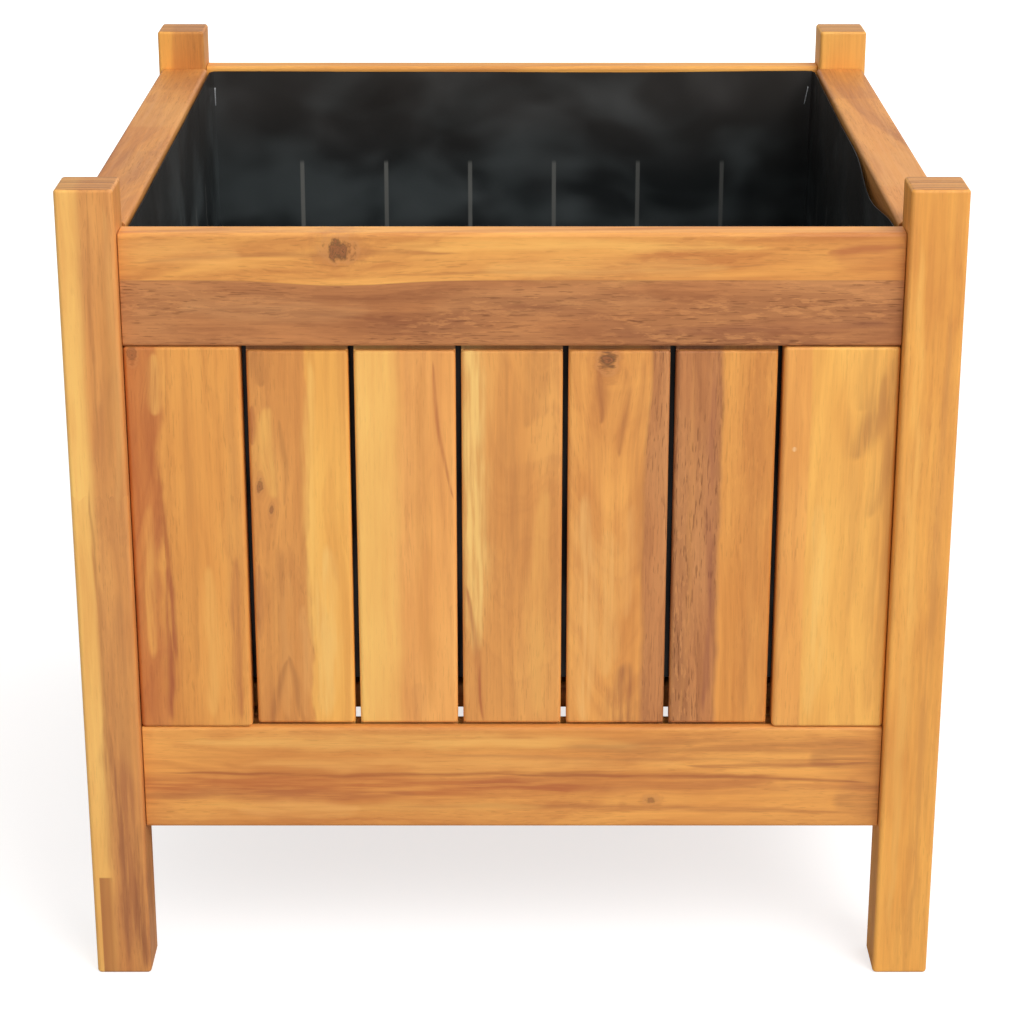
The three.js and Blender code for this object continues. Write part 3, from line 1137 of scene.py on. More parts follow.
SEEN_FIGURES: dict[str, Figure] = {
    "post_front_left": Figure(
        strips=(
            Strip(PALE.calm().tinted("FFCA70", "E9A459"), seed=1.0, pith=(-20, 150), lean=(0.01, 0.02)),
            Strip(TAWNY.calm().tinted("EBA65C", "BE7D4A"), start=-3.4, seed=2.3, pith=(30, 140),
                  lean=(0.01, 0.03), blend=3.0, waver=0.8),
        ),
        streaks=(
            Streak("A0643F", (5, 10), (6, -193), 6.0, 0.3),
            Streak("AC6440", (6, -70), (5, -330), 10.0, 0.45),
            Streak("AC6A44", (-3, -60), (-4, -142), 3.0, 0.25),
            Streak("8E5236", (10, -193), (11, -110), 3.0, 0.65, bow=-1),
            Streak("94583A", (-1, -60), (2, -190), 2.0, 0.5, bow=2),
            Streak("B0743F", (5, 60), (6, 170), 3.0, 0.3, bow=2),
            Streak("A9663C", (-4, 60), (-3, -140), 1.2, 0.55, bow=1),
            Streak("B2703F", (2, 190), (1, 60), 1.0, 0.5, bow=-1),
            Streak("E9AC62", (9, 190), (9, 40), 2.0, 0.5, bow=1),
        ),
        joints=(52.0,),
        patches=(Patch("B9733F", -9.6, -4.0, -142.0, 0.75), Patch("9C5A38", -9.6, -7.5, -142.0, 0.3)),
    ),
    "post_front_right": Figure(
        strips=(Strip(HONEY.calm(), seed=5.0, pith=(10, 160), lean=(0.01, -0.02)),),
        streaks=(
            Streak("C98A4E", (4, -190), (7, 150), 2.5, 0.35),
            Streak("FFC66A", (-8, 180), (-6, -180), 3.0, 0.4, bow=2),
            Streak("CB8742", (4, -260), (6, 20), 11.0, 0.4),
        ),
    ),
    "front_top_rail": Figure(
        strips=(
            Strip(CHESTNUT, seed=7.0, pith=(-30, 60), lean=(0.04, 0.02)),
            Strip(AMBER.tinted("F4AF5B", "CA8042"), start=4.6, seed=8.2, pith=(50, 60), lean=(0.03, 0.06)),
        ),
        streaks=(
            Streak("B5643A", (17, 138), (21, 174), 2.5, 0.6),
            # Painted shade: this wide dark band at the right end stands for the shade next to the right post.
            Streak("B5643A", (15, 140), (15, 220), 11.0, 0.4),
            Streak("C98A55", (-9, -40), (-6, 70), 7.0, 0.4, bow=2),
            Streak("8A5038", (-20, 60), (-16, 172), 3.0, 0.4, bow=1),
            Streak("B5703F", (12, -170), (17, -20), 1.0, 0.6, bow=3),
            Streak("B5703F", (9, -60), (12, 120), 0.9, 0.5, bow=-2),
            Streak("FFC46A", (20, -60), (19, 120), 2.5, 0.5, bow=1),
            Streak("FBBC68", (9, -16), (10, 100), 5.0, 0.5),
            Streak("FBB968", (18, -176), (16, -118), 6.0, 0.5),
            Streak("DFA268", (-9, -150), (-8, -60), 6.0, 0.35),
        ),
        knots=(Knot(18.6, -76.4, 6.2, 1.2, flow=0.5),),
    ),
    "rear_top_rail": Figure(strips=(Strip(HONEY, seed=51.0, pith=(40, 70), lean=(0.04, 0.03)),)),
    "left_top_rail": Figure(
        strips=(Strip(TAWNY, seed=53.0, pith=(60, 40), lean=(0.03, 0.05)),),
        streaks=(
            Streak("A86C42", (24, -110), (25, -30), 5.0, 0.3),
            Streak("E8A85E", (25, 20), (24, 85), 5.0, 0.4),
            Streak("A9663C", (24, 112), (25, 170), 5.0, 0.4),
        ),
    ),
    "right_top_rail": Figure(
        strips=(Strip(TAWNY, seed=55.0, pith=(70, -40), lean=(0.03, -0.05)),),
        streaks=(
            Streak("E8A85E", (25, -110), (24, -30), 5.0, 0.35),
            Streak("A86440", (25, 90), (24, 170), 5.0, 0.35),
        ),
    ),
    "post_rear_left": Figure(
        strips=(
            Strip(HONEY.calm(), seed=57.0, pith=(20, 120), lean=(0.01, 0.02)),
            Strip(TAWNY, start=-5.0, seed=58.0, pith=(60, 90), lean=(0.02, 0.02), blend=2.0, waver=1.0),
        ),
        streaks=(Streak("F6B660", (13, 100), (13, 195), 2.0, 0.5),),
    ),
    "post_rear_right": Figure(strips=(Strip(PALE.calm(), seed=59.0, pith=(-20, 120), lean=(0.01, 0.02)),)),
    "front_bottom_rail": Figure(
        strips=(Strip(AMBER.tinted("F4AD59", "CA7F41"), seed=11.0, pith=(20, 90), lean=(0.012, 0.015)),),
        streaks=(
            Streak("BC6436", (-3, -190), (-5, 40), 8.0, 0.72, bow=-1),
            Streak("A2552F", (3, -172), (4, 60), 1.0, 0.6, bow=-2),
            Streak("B2613A", (-4, -30), (-7, 190), 5.0, 0.45, bow=2),
            Streak("9A4F30", (1, -10), (-3, 172), 1.2, 0.6, bow=2),
            Streak("B0663C", (-10, -190), (-9, -40), 3.0, 0.5, bow=1),
            Streak("B0663A", (-16, -60), (-19, 165), 1.6, 0.55, bow=2),
            Streak("B8703F", (12, -40), (9, 172), 1.2, 0.5, bow=-1),
            Streak("A9603A", (6, 80), (8, 172), 1.4, 0.6, bow=-1),
            Streak("FFC56C", (18, -160), (16, 70), 4.0, 0.55, bow=2),
            Streak("F6B660", (-15, -150), (-15, 20), 3.0, 0.5, bow=-1),
            Streak("F8B664", (7, -132), (6, 88), 4.0, 0.5, bow=1),
            Streak("F4B064", (-17, -132), (-16, -70), 4.6, 0.5),
            Streak("B06C3C", (16, 20), (18, 176), 5.0, 0.5, bow=-1),
            Streak("985838", (9, 138), (11, 200), 10.0, 0.4),
            # Painted shadow: this dark band at the right end stands for the contact shadow next to the right
            # post.
            Streak("8E5238", (-12, 150), (-10, 226), 13.0, 0.42),
        ),
        knots=(Knot(-12, 66, 2.2, 1.4, 0.55, flow=0.3),),
    ),
    "front_stile_left": Figure(
        strips=(
            Strip(RUDDY, seed=13.0, pith=(20, 80), lean=(0.03, 0.08)),
            Strip(replace(AMBER, figure=0.6, ring=16.0), start=-12, seed=14.0, pith=(-60, 60),
                  lean=(0.01, 0.03), blend=2.5, waver=5.0),
        ),
        streaks=(
            Streak("A9552F", (-13, 40), (-11, -90), 1.8, 0.6, bow=2),
            Streak("F5B25C", (-17, 20), (-19, -60), 3.4, 0.7, bow=-2),
            Streak("F9BE66", (-14, 91), (-13, 60), 4.0, 0.6),
            Streak("FBBE66", (8, -10), (9, -90), 4.0, 0.5, bow=1),
            Streak("B5643A", (21, -5), (22, -92), 2.2, 0.7, bow=-1),
            Streak("B5643A", (-20, -60), (-20, -92), 2.0, 0.3),
            Streak("A85636", (-11, -10), (-11, -92), 3.4, 0.62, bow=1),
            Streak("C98545", (0, 91), (1, -70), 3.6, 0.35, bow=1),
            Streak("CE8C4C", (21, 91), (20, -92), 3.6, 0.35),
        ),
        knots=(Knot(-22, 89, 3.5, 1.6, 0.55),),
    ),
    "front_stile_right": Figure(
        strips=(
            Strip(AMBER.calm().tinted("F5B05C", "CD8346"), seed=17.0, pith=(-50, 90), lean=(0.02, 0.04)),
            Strip(PALE.calm(), start=-13.3, seed=18.0, pith=(30, 90), lean=(0.05, 0.05),
                  blend=0.6, waver=0.4),
        ),
        streaks=(
            Streak("A86E40", (29, 96), (7, 38), 7.5, 0.6, bow=1),
            Streak("B57A45", (28, 66), (14, 10), 5.0, 0.4, bow=1),
            Streak("D8984F", (2, 70), (8, -40), 4.0, 0.35, bow=3),
            Streak("CC8846", (20, 91), (19, -91), 5.5, 0.45, bow=1),
            Streak("C58646", (14, 95), (9, 62), 6.0, 0.4),
            Streak("FFCE76", (-8, 22), (-8, -91), 4.6, 0.5, bow=1),
            Streak("FFDDA8", (-20, 46), (-20, 43.6), 0.9, 0.6),
        ),
    ),
    "front_slat_1": Figure(
        strips=(
            Strip(TAWNY.tinted("E9A356", "BB7741").even(0.6), seed=21.0, pith=(-10, 44), lean=(0.04, 0.07)),
            Strip(PALE, start=3.5, seed=22.0, pith=(-60, 40), lean=(0.03, 0.05), blend=0.9, waver=3.0),
        ),
        streaks=(
            Streak("A96A3C", (-12, 0), (-14, -91), 4.0, 0.35, bow=3),
            Streak("FFC76A", (6, 91), (5, -60), 3.2, 0.7, bow=-1),
            Streak("A9552F", (-21, 66), (-21, 46), 1.8, 0.6),
            Streak("F7BC62", (-14, 66), (-13, 20), 4.6, 0.7, bow=-2),
            Streak("B5763F", (-9, 60), (-8, 16), 1.4, 0.5, bow=2),
            Streak("ECA85E", (-7, -14), (-8, -91), 3.2, 0.5, bow=-1),
            Streak("F0B066", (0, -30), (1, -91), 3.2, 0.5),
            Streak("FFD07A", (11, 0), (11, -91), 5.5, 0.55),
            Streak("B4733E", (-18, 95), (-17, 74), 4.0, 0.5),
            Streak("A9623A", (-21, -10), (-21, -50), 2.4, 0.5),
            Streak("AC6C3C", (-8, -58), (-16, -94), 1.8, 0.5, bow=-1),
            Streak("AC6C3C", (-8, -56), (-1, -94), 1.8, 0.5, bow=1),
        ),
        knots=(Knot(-18, 27, 2.2, 1.6, 0.6), Knot(-14, 15, 1.6, 1.6, 0.6)),
    ),
    "front_slat_2": Figure(
        strips=(
            Strip(PALE.calm().tinted("FFCB70", "F2AB5C"), seed=24.0, pith=(-30, 60), lean=(0.02, 0.04)),
            Strip(HONEY.calm().tinted("F8B363", "D2894C"), start=-4.0, seed=25.0, pith=(20, 60),
                  lean=(0.04, 0.07), blend=4.0, waver=2.0),
        ),
        streaks=(
            Streak("B5643A", (12.7, 88), (21.7, 19), 0.9, 0.65, bow=-2),
            Streak("D58F48", (8, 91), (12, -91), 4.0, 0.4, bow=-3),
            Streak("C07A44", (5, -70), (4, -91), 4.0, 0.3),
        ),
    ),
    "front_slat_3": Figure(
        strips=(
            Strip(AMBER.tinted("EBA75A", "C37F46").even(0.6), seed=29.5, pith=(4, 40),
                  lean=(0.04, -0.14)),
        ),
        streaks=(
            Streak("FFD27C", (-18, 130), (-18, -60), 6.5, 0.85),
            Streak("B8763F", (10, 95), (7, 54), 5.0, 0.45, bow=1),
            Streak("C28046", (-4, 91), (0, -10), 5.0, 0.45, bow=2),
            Streak("AE5A34", (-22, -20), (-13, -93), 1.5, 0.75, bow=1),
            Streak("F3B561", (15, 30), (13, -91), 5.0, 0.5, bow=-2),
        ),
    ),
    "front_slat_4": Figure(
        strips=(
            Strip(replace(AMBER, light="F4AF5C", dark="CC8345", streaks=0.1), seed=33.0, pith=(-2, 36),
                  lean=(0.0, -0.15)),
            Strip(CHESTNUT, start=11.5, seed=34.0, pith=(60, 30), blend=2.0, waver=1.5),
        ),
        streaks=(
            Streak("A25C36", (-6, 84), (-7, 56), 1.6, 0.6),
            Streak("A86238", (-2, 84), (0, 40), 1.6, 0.55, bow=1),
            Streak("C07C44", (6, 91), (9, -20), 3.4, 0.4, bow=1),
            Streak("96573A", (5, -58), (9, -150), 8.0, 0.65, bow=-1),
            Streak("B86F3E", (-9, 70), (-14, -20), 3.0, 0.3, bow=-1),
            Streak("F8BE70", (-15, 26), (-14, -96), 5.5, 0.6),
            Streak("F4B86A", (-4, 8), (-5, -70), 5.5, 0.55, bow=1),
            Streak("EEAE64", (7, 20), (5, -40), 3.2, 0.5),
        ),
        knots=(Knot(-5.0, 86, 6.4, 0.8, 0.9),),
    ),
    "front_slat_5": Figure(
        strips=(
            Strip(CHESTNUT, seed=37.0, pith=(-40, 40), lean=(0.02, 0.03)),
            Strip(AMBER.even(0.5), start=-1.6, seed=38.0, pith=(30, 50), lean=(0.02, 0.03),
                  blend=1.8, waver=1.4),
        ),
        streaks=(
            Streak("9A5A42", (-5.5, 91), (-6, -91), 2.4, 0.5),
            Streak("D49252", (-15, 91), (-17, -91), 1.6, 0.45, bow=1),
            Streak("C77F42", (14, 91), (12, -91), 4.0, 0.4, bow=1),
        ),
    ),
}


@dataclass
class CornerPosts:
    """The four posts, mortised for the side rails and drilled for the corner screws.

    Attributes:
        yard: Where the timber comes from.
        rail_centres: Heights of the bottom and the top rails' middles.
        side_centre: Distance of the side rails' middles from the planter's middle.
    """

    yard: Yard
    rail_centres: Pair = (101.5 * MM, 340.0 * MM)
    side_centre: float = 185.5 * MM
    FACE = (26, 387)

    def build(self) -> list[Piece]:
        """Build the four posts."""
        return [self._post(end, hand) for end in End for hand in Hand]

    def _post(self, end: End, hand: Hand) -> Piece:
        """Build one post.

        Args:
            end: Whether it stands at the front or the rear.
            hand: Whether it stands left or right.

        Returns:
            The post.
        """
        node = f"post_{end.name.lower()}_{hand.name.lower()}"
        body = corners(node)
        middle = (body[0] + body[1]) / 2
        inner = middle.y - end.value * (body[1].y - body[0].y) / 2
        play = JOINERY.tenon_play
        thick, length, height = (size + play * 2 for size in JOINERY.tenon)
        half = Vector((thick / 2, length - play, height / 2))
        mortises, holes = [], []
        for level, centre in zip((-1, 1), self.rail_centres):
            spot = Vector((hand.value * self.side_centre, inner, centre + level * JOINERY.tenon_shift))
            mortises.append((spot - half, spot + half))
            holes.append(Hole(hand, middle.y, centre))
        figure = self.yard.figure(node, AMBER, *self.FACE)
        post = Board(node, Lay.UPRIGHT_FRONT, figure, "amber_wood", body, cut=mortises, holes=holes)
        return post.make(self.yard.group)


class Side(Enum):
    """The four framed sides."""

    FRONT = "front"
    REAR = "rear"
    LEFT = "left"
    RIGHT = "right"

    @property
    def faces_x(self) -> bool:
        """Whether this is the left or the right side."""
        return self in (Side.LEFT, Side.RIGHT)


@dataclass
class FramedPanel:
    """One side: grooved rails, with stiles and slats tongued into them.

    Attributes:
        side: Which side it is.
        yard: Where the timber comes from.
        rail_end_radius: Radius of the edges where a rail meets the posts.
    """

    side: Side
    yard: Yard
    rail_end_radius: float = 0.5 * MM
    RAIL_FACE = (52, 348)
    UPRIGHT_FACE = (50, 190)
    RAILS = (("bottom_rail", 1, "honey_wood", HONEY), ("top_rail", -1, "russet_wood", TAWNY))
    STILES = (("stile_left", "amber_wood", AMBER), ("stile_right", "honey_wood", HONEY))
    SLATS = (
        ("slat_1", "amber_wood", AMBER), ("slat_2", "honey_wood", HONEY), ("slat_3", "amber_wood", AMBER),
        ("slat_4", "russet_wood", TAWNY), ("slat_5", "walnut_wood", CHESTNUT),
    )

    def build(self) -> list[Piece]:
        """Build the side's rails, stiles and slats."""
        rails = [self._rail(*rail) for rail in self.RAILS]
        stiles = [self._upright(*stile, JOINERY.stile_tongue) for stile in self.STILES]
        slats = [self._upright(*slat, JOINERY.slat_tongue) for slat in self.SLATS]
        return rails + stiles + slats

    def _rail(self, name: str, groove_side: int, slot: str, tone: Tone) -> Piece:
        """Build a rail, with tenons on the left and right sides.

        Args:
            name: Its name within its side.
            groove_side: 1 for a groove in its upper edge, -1 for the lower one.
            slot: Its material slot name.
            tone: Its main colour.

        Returns:
            The rail.
        """
        node = f"{self.side.value}_{name}"
        lay = Lay.ALONG_SIDE if self.side.faces_x else Lay.ACROSS_FRONT
        low, high = corners(node)
        _, through, along = lay.value
        added, holes = [], []
        if self.side.faces_x:
            thick, length, height = JOINERY.tenon
            tenon = narrowed(narrowed((low, high), through, thick), 2, height)
            shift = Vector((0, 0, -groove_side * JOINERY.tenon_shift))
            added.append((tenon[0] + shift, tenon[1] + shift))
            low, high = trimmed((low, high), along, length)
        else:
            middle = (low + high) / 2
            holes = [Hole(hand, middle.y, middle.z) for hand in Hand]
        width, depth = JOINERY.groove
        slot_low, slot_high = narrowed(trimmed((low, high), along, -OVERCUT), through, width)
        if groove_side > 0:
            slot_low.z, slot_high.z = high.z - depth, high.z + OVERCUT
        else:
            slot_low.z, slot_high.z = low.z - OVERCUT, low.z + depth
        rail = Board(node, lay, self.yard.figure(node, tone, *self.RAIL_FACE), slot, (low, high), added,
                     [(slot_low, slot_high)], holes, end_radius=self.rail_end_radius)
        return rail.make(self.yard.group)

    def _upright(self, name: str, slot: str, tone: Tone, tongue: float) -> Piece:
        """Build a stile or slat with a tongue on each end."""
        node = f"{self.side.value}_{name}"
        lay = Lay.UPRIGHT_SIDE if self.side.faces_x else Lay.UPRIGHT_FRONT
        whole = corners(node)
        across, through, along = lay.value
        thin = trimmed(narrowed(whole, through, JOINERY.tongue_thickness), across, JOINERY.tongue_inset)
        body = trimmed(whole, along, tongue)
        figure = self.yard.figure(node, tone, *self.UPRIGHT_FACE)
        shoulder = (body[1][along] - body[0][along]) / 2
        return Board(node, lay, figure, slot, body, [thin], shoulder=shoulder).make(self.yard.group)


@dataclass
class SlattedBottom:
    """The bottom boards, the battens under them and the ledgers that carry them.

    Attributes:
        yard: Where the timber comes from.
        board_count: Number of boards.
    """

    yard: Yard
    board_count: int = 6
    LENGTH = 341
    BOARD_FACE, BATTEN_FACE, LEDGER_FACE = 54, 42, 18

    def build(self) -> list[Piece]:
        """Build the boards, battens and ledgers."""
        made = []
        for number in range(1, self.board_count + 1):
            slot, tone = ("russet_wood", TAWNY) if number % 2 else ("amber_wood", AMBER)
            made.append(self._stick(f"bottom_board_{number}", Lay.FLAT_ACROSS, self.BOARD_FACE, slot, tone))
        for hand in Hand:
            made.append(self._stick(f"bottom_batten_{hand.name.lower()}", Lay.FLAT_ALONG, self.BATTEN_FACE))
        for end in End:
            made.append(self._stick(f"ledger_{end.name.lower()}", Lay.FLAT_ACROSS, self.LEDGER_FACE))
        return made

    def _stick(
        self, node: str, lay: Lay, width: float, slot: str = "amber_wood", tone: Tone = AMBER
    ) -> Piece:
        """Build one plain board."""
        figure = self.yard.figure(node, tone, width, self.LENGTH)
        return Board(node, lay, figure, slot, corners(node)).make(self.yard.group)


@dataclass
class FilmLiner:
    """The film tray that holds the earth: one sheet folded up at four sides.

    Attributes:
        finish: The film's finish.
        thickness: Thickness of the film as modelled.
        corner: Radius of the upright corners.
        foot: Radius between the walls and the floor.
        rows: Number of mesh rows up the wall.
        rings: Number of mesh rings over the floor.
        steps: Number of mesh steps round the tray.
        gaps: Places of the slat gaps from a side's middle.
        slat_top: Height where the slats end.
        slack: How far the walls hang in between their top and foot.
        ripple: How far the top edge goes up and down.
        sag_middle: Where the right wall's loose stretch has its middle.
        dip: Depth and half length of the dip in its top edge.
        lean: How far it leans in there, over what half length and how far down.
        half: Half width and half depth of the tray.
        floor: Height of its floor.
        top: Height of its top edge.
    """

    finish: FilmFinish
    thickness: float = 0.4 * MM
    corner: float = 4 * MM
    foot: float = 5 * MM
    rows: int = 64
    rings: int = 36
    steps: int = 320
    gaps: tuple[float, ...] = tuple(place * MM for place in (-120.5, -72.3, -24.1, 24.1, 72.3, 120.5))
    slat_top: float = 314 * MM
    slack: float = 3.5 * MM
    ripple: float = 1.2 * MM
    sag_middle: float = -100 * MM
    dip: Pair = (4.6 * MM, 66 * MM)
    lean: Triple = (3 * MM, 50 * MM, 45 * MM)
    half: Vector = field(init=False)
    floor: float = field(init=False)
    top: float = field(init=False)
    CLEAR = 0.25 * MM
    SEED = Vector((3.7, 0, 0))
    FLOOR_WAVE = 1.2 * MM
    SHARP_ANGLE = math.radians(45)

    def __post_init__(self) -> None:
        """Read the tray's reach from its CAD node."""
        low, high = corners("liner")
        self.half = Vector((high.x - self.CLEAR, high.y - self.CLEAR))
        self.floor, self.top = low.z + self.CLEAR, high.z - self.CLEAR

    def build(self) -> Piece:
        bm = bmesh.new()
        loops = [self._loop(bm, level) for level in range(self.rows + self.rings)]
        skin(bm, loops)
        bm.faces.new(list(reversed(loops[-1])))
        draft = piece_of(bm, "film")
        draft.data.shade_smooth()
        solid = draft.modifiers.new("thickness", "SOLIDIFY")
        solid.thickness, solid.offset = self.thickness, -1
        made = frozen(draft, "liner")
        made.data.set_sharp_from_angle(angle=self.SHARP_ANGLE)
        paint = self.finish.material(self.gaps, tuple(self.half), self.floor, self.slat_top)
        seated(made, paint, "liner")
        width, depth, height = 2 * self.half.x, 2 * self.half.y, self.top - self.floor
        flat = (width + 2 * height, depth + 2 * height)
        flat[0] * flat[1] - 4 * height * height
        return made

    def _loop(self, bm: Draft, level: int) -> list[Corner]:
        """Add one ring of the tray: the first ones down the wall, the last ones over the floor."""
        made = []
        for step in range(self.steps):
            edge, inward = self._rim(step / self.steps)
            if level < self.rows:
                spot = self._wall(edge, inward, level / (self.rows - 1))
            else:
                spot = self._floor(edge, (level - self.rows + 1) / (self.rings + 1))
            made.append(bm.verts.new(spot))
        return made

    def _rim(self, turn: float) -> tuple[Vector, Vector]:
        """Find a place on the rim.

        Args:
            turn: The share of the way round, from 0 to 1.

        Returns:
            The place and the inward direction there.
        """
        x, y = self.half.x - self.corner, self.half.y - self.corner
        bend = QUARTER * self.corner
        around = turn * (4 * x + 4 * y + 4 * bend)
        for number, (wide, reach) in enumerate(((x, 2 * y), (y, 2 * x)) * 2):
            out = Matrix.Rotation(number * QUARTER, 2) @ Vector((1, 0))
            ahead = Vector((-out.y, out.x))
            if around <= reach:
                return out * (wide + self.corner) + ahead * (around - reach / 2), -out
            around -= reach
            if around <= bend:
                angle = around / self.corner
                leaning = out * math.cos(angle) + ahead * math.sin(angle)
                return out * wide + ahead * reach / 2 + leaning * self.corner, -leaning
            around -= bend
        return Vector((self.half.x, -y)), Vector((-1, 0))

    def _wall(self, edge: Vector, inward: Vector, down: float) -> Vector:
        """Give a place on the wall, from its top edge (0) to the floor (1)."""
        spot = Vector((edge.x, edge.y, 0)) * 9
        top = self.top - self.ripple * (0.5 + noise.noise(spot + self.SEED)) - self._dip(edge)
        height = self.floor + self.foot + (top - self.floor - self.foot) * (1 - down)
        spot.z = height * 7
        wave = 0.5 + 0.45 * noise.noise(spot) + 0.15 * noise.noise(spot * 2.7)
        push = wave * (math.sin(math.pi * down) * self.slack + 0.1 * MM) + self._lean(edge, height)
        return Vector((edge.x + inward.x * push, edge.y + inward.y * push, height))

    def _on_right(self, edge: Vector) -> bool:
        """Tell whether a place of the rim is on the right wall, which has the loose stretch."""
        return edge.x >= self.half.x - 2 * self.corner

    def _dip(self, edge: Vector) -> float:
        """Give how far the top edge hangs down."""
        depth, reach = self.dip
        share = max(0.0, 1.0 - abs(edge.y - self.sag_middle) / reach)
        return depth * share * share * (3 - 2 * share) * self._on_right(edge)

    def _lean(self, edge: Vector, height: float) -> float:
        """Give how far the wall leans in near its top."""
        depth, reach, fall = self.lean
        share = min(1.0, max(0.0, (height - self.top + fall) / fall))
        along = math.exp(-(((edge.y - self.sag_middle) / reach) ** 2))
        return depth * share * share * along * self._on_right(edge)

    def _floor(self, edge: Vector, share: float) -> Vector:
        """Give a place on the floor, from the wall's foot (0) to the middle (1)."""
        reach = min(1.0, share * 5)
        spot = (edge * (1 - share * 0.985)).to_3d()
        wave = 0.5 + 0.5 * noise.noise(spot * 12)
        spot.z = self.floor + self.foot * (1 - math.sin(reach * QUARTER)) + wave * self.FLOOR_WAVE * reach
        return spot


class GrownTree:
    """A Geometry Nodes tree with named inputs that sets small equal pieces.

    A tree of its own kind gives its name and inputs, and a method that places its pieces.
    """

    NAME = ""
    INPUTS: Sockets = {}

    def build(self) -> Tree:
        """Build the tree: place the pieces, make them real and set their material."""
        g = new_tree(self.NAME, "GeometryNodeTree", self.INPUTS, {"Geometry": ("Geometry",)})
        given = g.given()
        real = g.add("GeometryNodeRealizeInstances", {"Geometry": self._placed(g, given)})
        painted = g.add("GeometryNodeSetMaterial", {"Geometry": real, "Material": given["Material"]})
        g.node("NodeGroupOutput", {0: painted})
        return g.tree

    def _placed(self, g: Graph, given: Mapping[str, Wire]) -> Wire:
        """Place the pieces as instances."""
        raise NotImplementedError

    def _path(self, g: Graph, count: int, place: Wire) -> Wire:
        """Draw a path through a number of places."""
        line = g.add("GeometryNodeMeshLine", {"Count": count})
        drawn = g.add("GeometryNodeSetPosition", {"Geometry": line, "Position": place})
        return g.add("GeometryNodeMeshToCurve", {0: drawn})

    def _by_index(self, g: Graph, values: Sequence[Value]) -> Wire:
        """Give each point the value of its own number."""
        choice = g.node("GeometryNodeIndexSwitch", data_type="FLOAT")
        while len(choice.index_switch_items) < len(values):
            choice.index_switch_items.new()
        g.put(choice.inputs["Index"], g.add("GeometryNodeInputIndex"))
        for socket, value in zip(list(choice.inputs)[1:], values):
            g.put(socket, value)
        return Wire(g, choice.outputs[0])


class ScrewTree(GrownTree):
    """Sets equal screws or nails in a grid."""

    NAME = "screw_grid"
    INPUTS = {
        "Int": ("Columns", "Rows", "Socket Sides", "Seed"),
        "Float": ("Width", "Depth", "Head Radius", "Rim", "Head Height", "Shank Radius", "Tip", "Length",
                  "Socket Radius", "Socket Depth"),
        "Vector": ("Middle", "Turn"),
        "Material": ("Material",),
    }
    SIDES = 32

    def _placed(self, g: Graph, given: Mapping[str, Wire]) -> Wire:
        """Set the screws on a grid, each with its key socket turned by chance."""
        grid = g.add("GeometryNodeMeshGrid", {
            "Size X": given["Width"], "Size Y": given["Depth"],
            "Vertices X": given["Columns"], "Vertices Y": given["Rows"],
        }, "Mesh")
        twist = g.add("FunctionNodeRandomValue", {
            0: (0.0, 0.0, -math.pi), 1: (0.0, 0.0, math.pi), "Seed": given["Seed"],
        }, data_type="FLOAT_VECTOR")
        screws = g.add("GeometryNodeInstanceOnPoints", {
            "Points": grid, "Instance": self._screw(g, given), "Rotation": twist,
        })
        return g.add("GeometryNodeTransform", {
            "Geometry": screws, "Translation": given["Middle"], "Rotation": given["Turn"],
        })

    def _screw(self, g: Graph, given: Mapping[str, Wire]) -> Wire:
        """Turn one screw that points down, with its head's face at the origin.

        Args:
            g: The tree's graph.
            given: The tree's inputs by name.

        Returns:
            The screw.
        """
        head, shank, length = given["Head Radius"], given["Shank Radius"], given["Length"]
        along = [0.0, given["Rim"], given["Head Height"], length - given["Tip"], length]
        radii = [head, head, shank, shank, ScrewSize.POINT]
        depth = self._by_index(g, along) * -1.0
        circle = g.add("GeometryNodeCurvePrimitiveCircle", {"Resolution": self.SIDES, "Radius": 1.0})
        turned = g.add("GeometryNodeCurveToMesh", {
            "Curve": self._path(g, len(along), g.combine(0.0, 0.0, depth)),
            "Profile Curve": circle, "Scale": self._by_index(g, radii), "Fill Caps": True,
        })
        key = g.add("GeometryNodeMeshCylinder", {
            "Vertices": given["Socket Sides"], "Radius": given["Socket Radius"],
            "Depth": given["Socket Depth"] * 2.0,
        }, "Mesh")
        cut = {"Mesh 1": turned, "Mesh 2": key}
        return g.add("GeometryNodeMeshBoolean", cut, "Mesh", operation="DIFFERENCE", solver="EXACT")


class StapleTree(GrownTree):
    """Sets flat-wire staples between two places."""

    NAME = "staple_row"
    INPUTS = {
        "Int": ("Count",),
        "Float": ("Tilt", "Crown", "Leg", "Wire Width", "Wire Thickness", "Bend"),
        "Vector": ("First", "Last", "Turn"),
        "Material": ("Material",),
    }
    BEND_STEPS = 5

    def _placed(self, g: Graph, given: Mapping[str, Wire]) -> Wire:
        """Set the staples in a row, each tilted a little more than the one before."""
        row = g.add("GeometryNodeMeshLine", {
            "Count": given["Count"], "Start Location": given["First"], 3: given["Last"],
        }, mode="END_POINTS")
        tilt = g.add("GeometryNodeInputIndex") * given["Tilt"]
        turn = given["Turn"] + g.combine(0.0, tilt, 0.0)
        return g.add("GeometryNodeInstanceOnPoints", {
            "Points": row, "Instance": self._staple(g, given), "Rotation": turn,
        })

    def _staple(self, g: Graph, given: Mapping[str, Wire]) -> Wire:
        """Bend one staple with an upright crown and its legs towards +Y."""
        half = given["Crown"] * 0.5
        low = half * -1.0
        height = self._by_index(g, [low, low, half, half])
        reach = self._by_index(g, [given["Leg"], 0.0, 0.0, given["Leg"]])
        bent = g.add("GeometryNodeFilletCurve", {
            "Curve": self._path(g, 4, g.combine(0.0, reach, height)), "Radius": given["Bend"],
            "Count": self.BEND_STEPS,
        }, mode="POLY")
        wire = g.add("GeometryNodeCurvePrimitiveQuadrilateral", {
            "Width": given["Wire Thickness"], "Height": given["Wire Width"],
        })
        return g.add("GeometryNodeCurveToMesh", {"Curve": bent, "Profile Curve": wire, "Fill Caps": True})


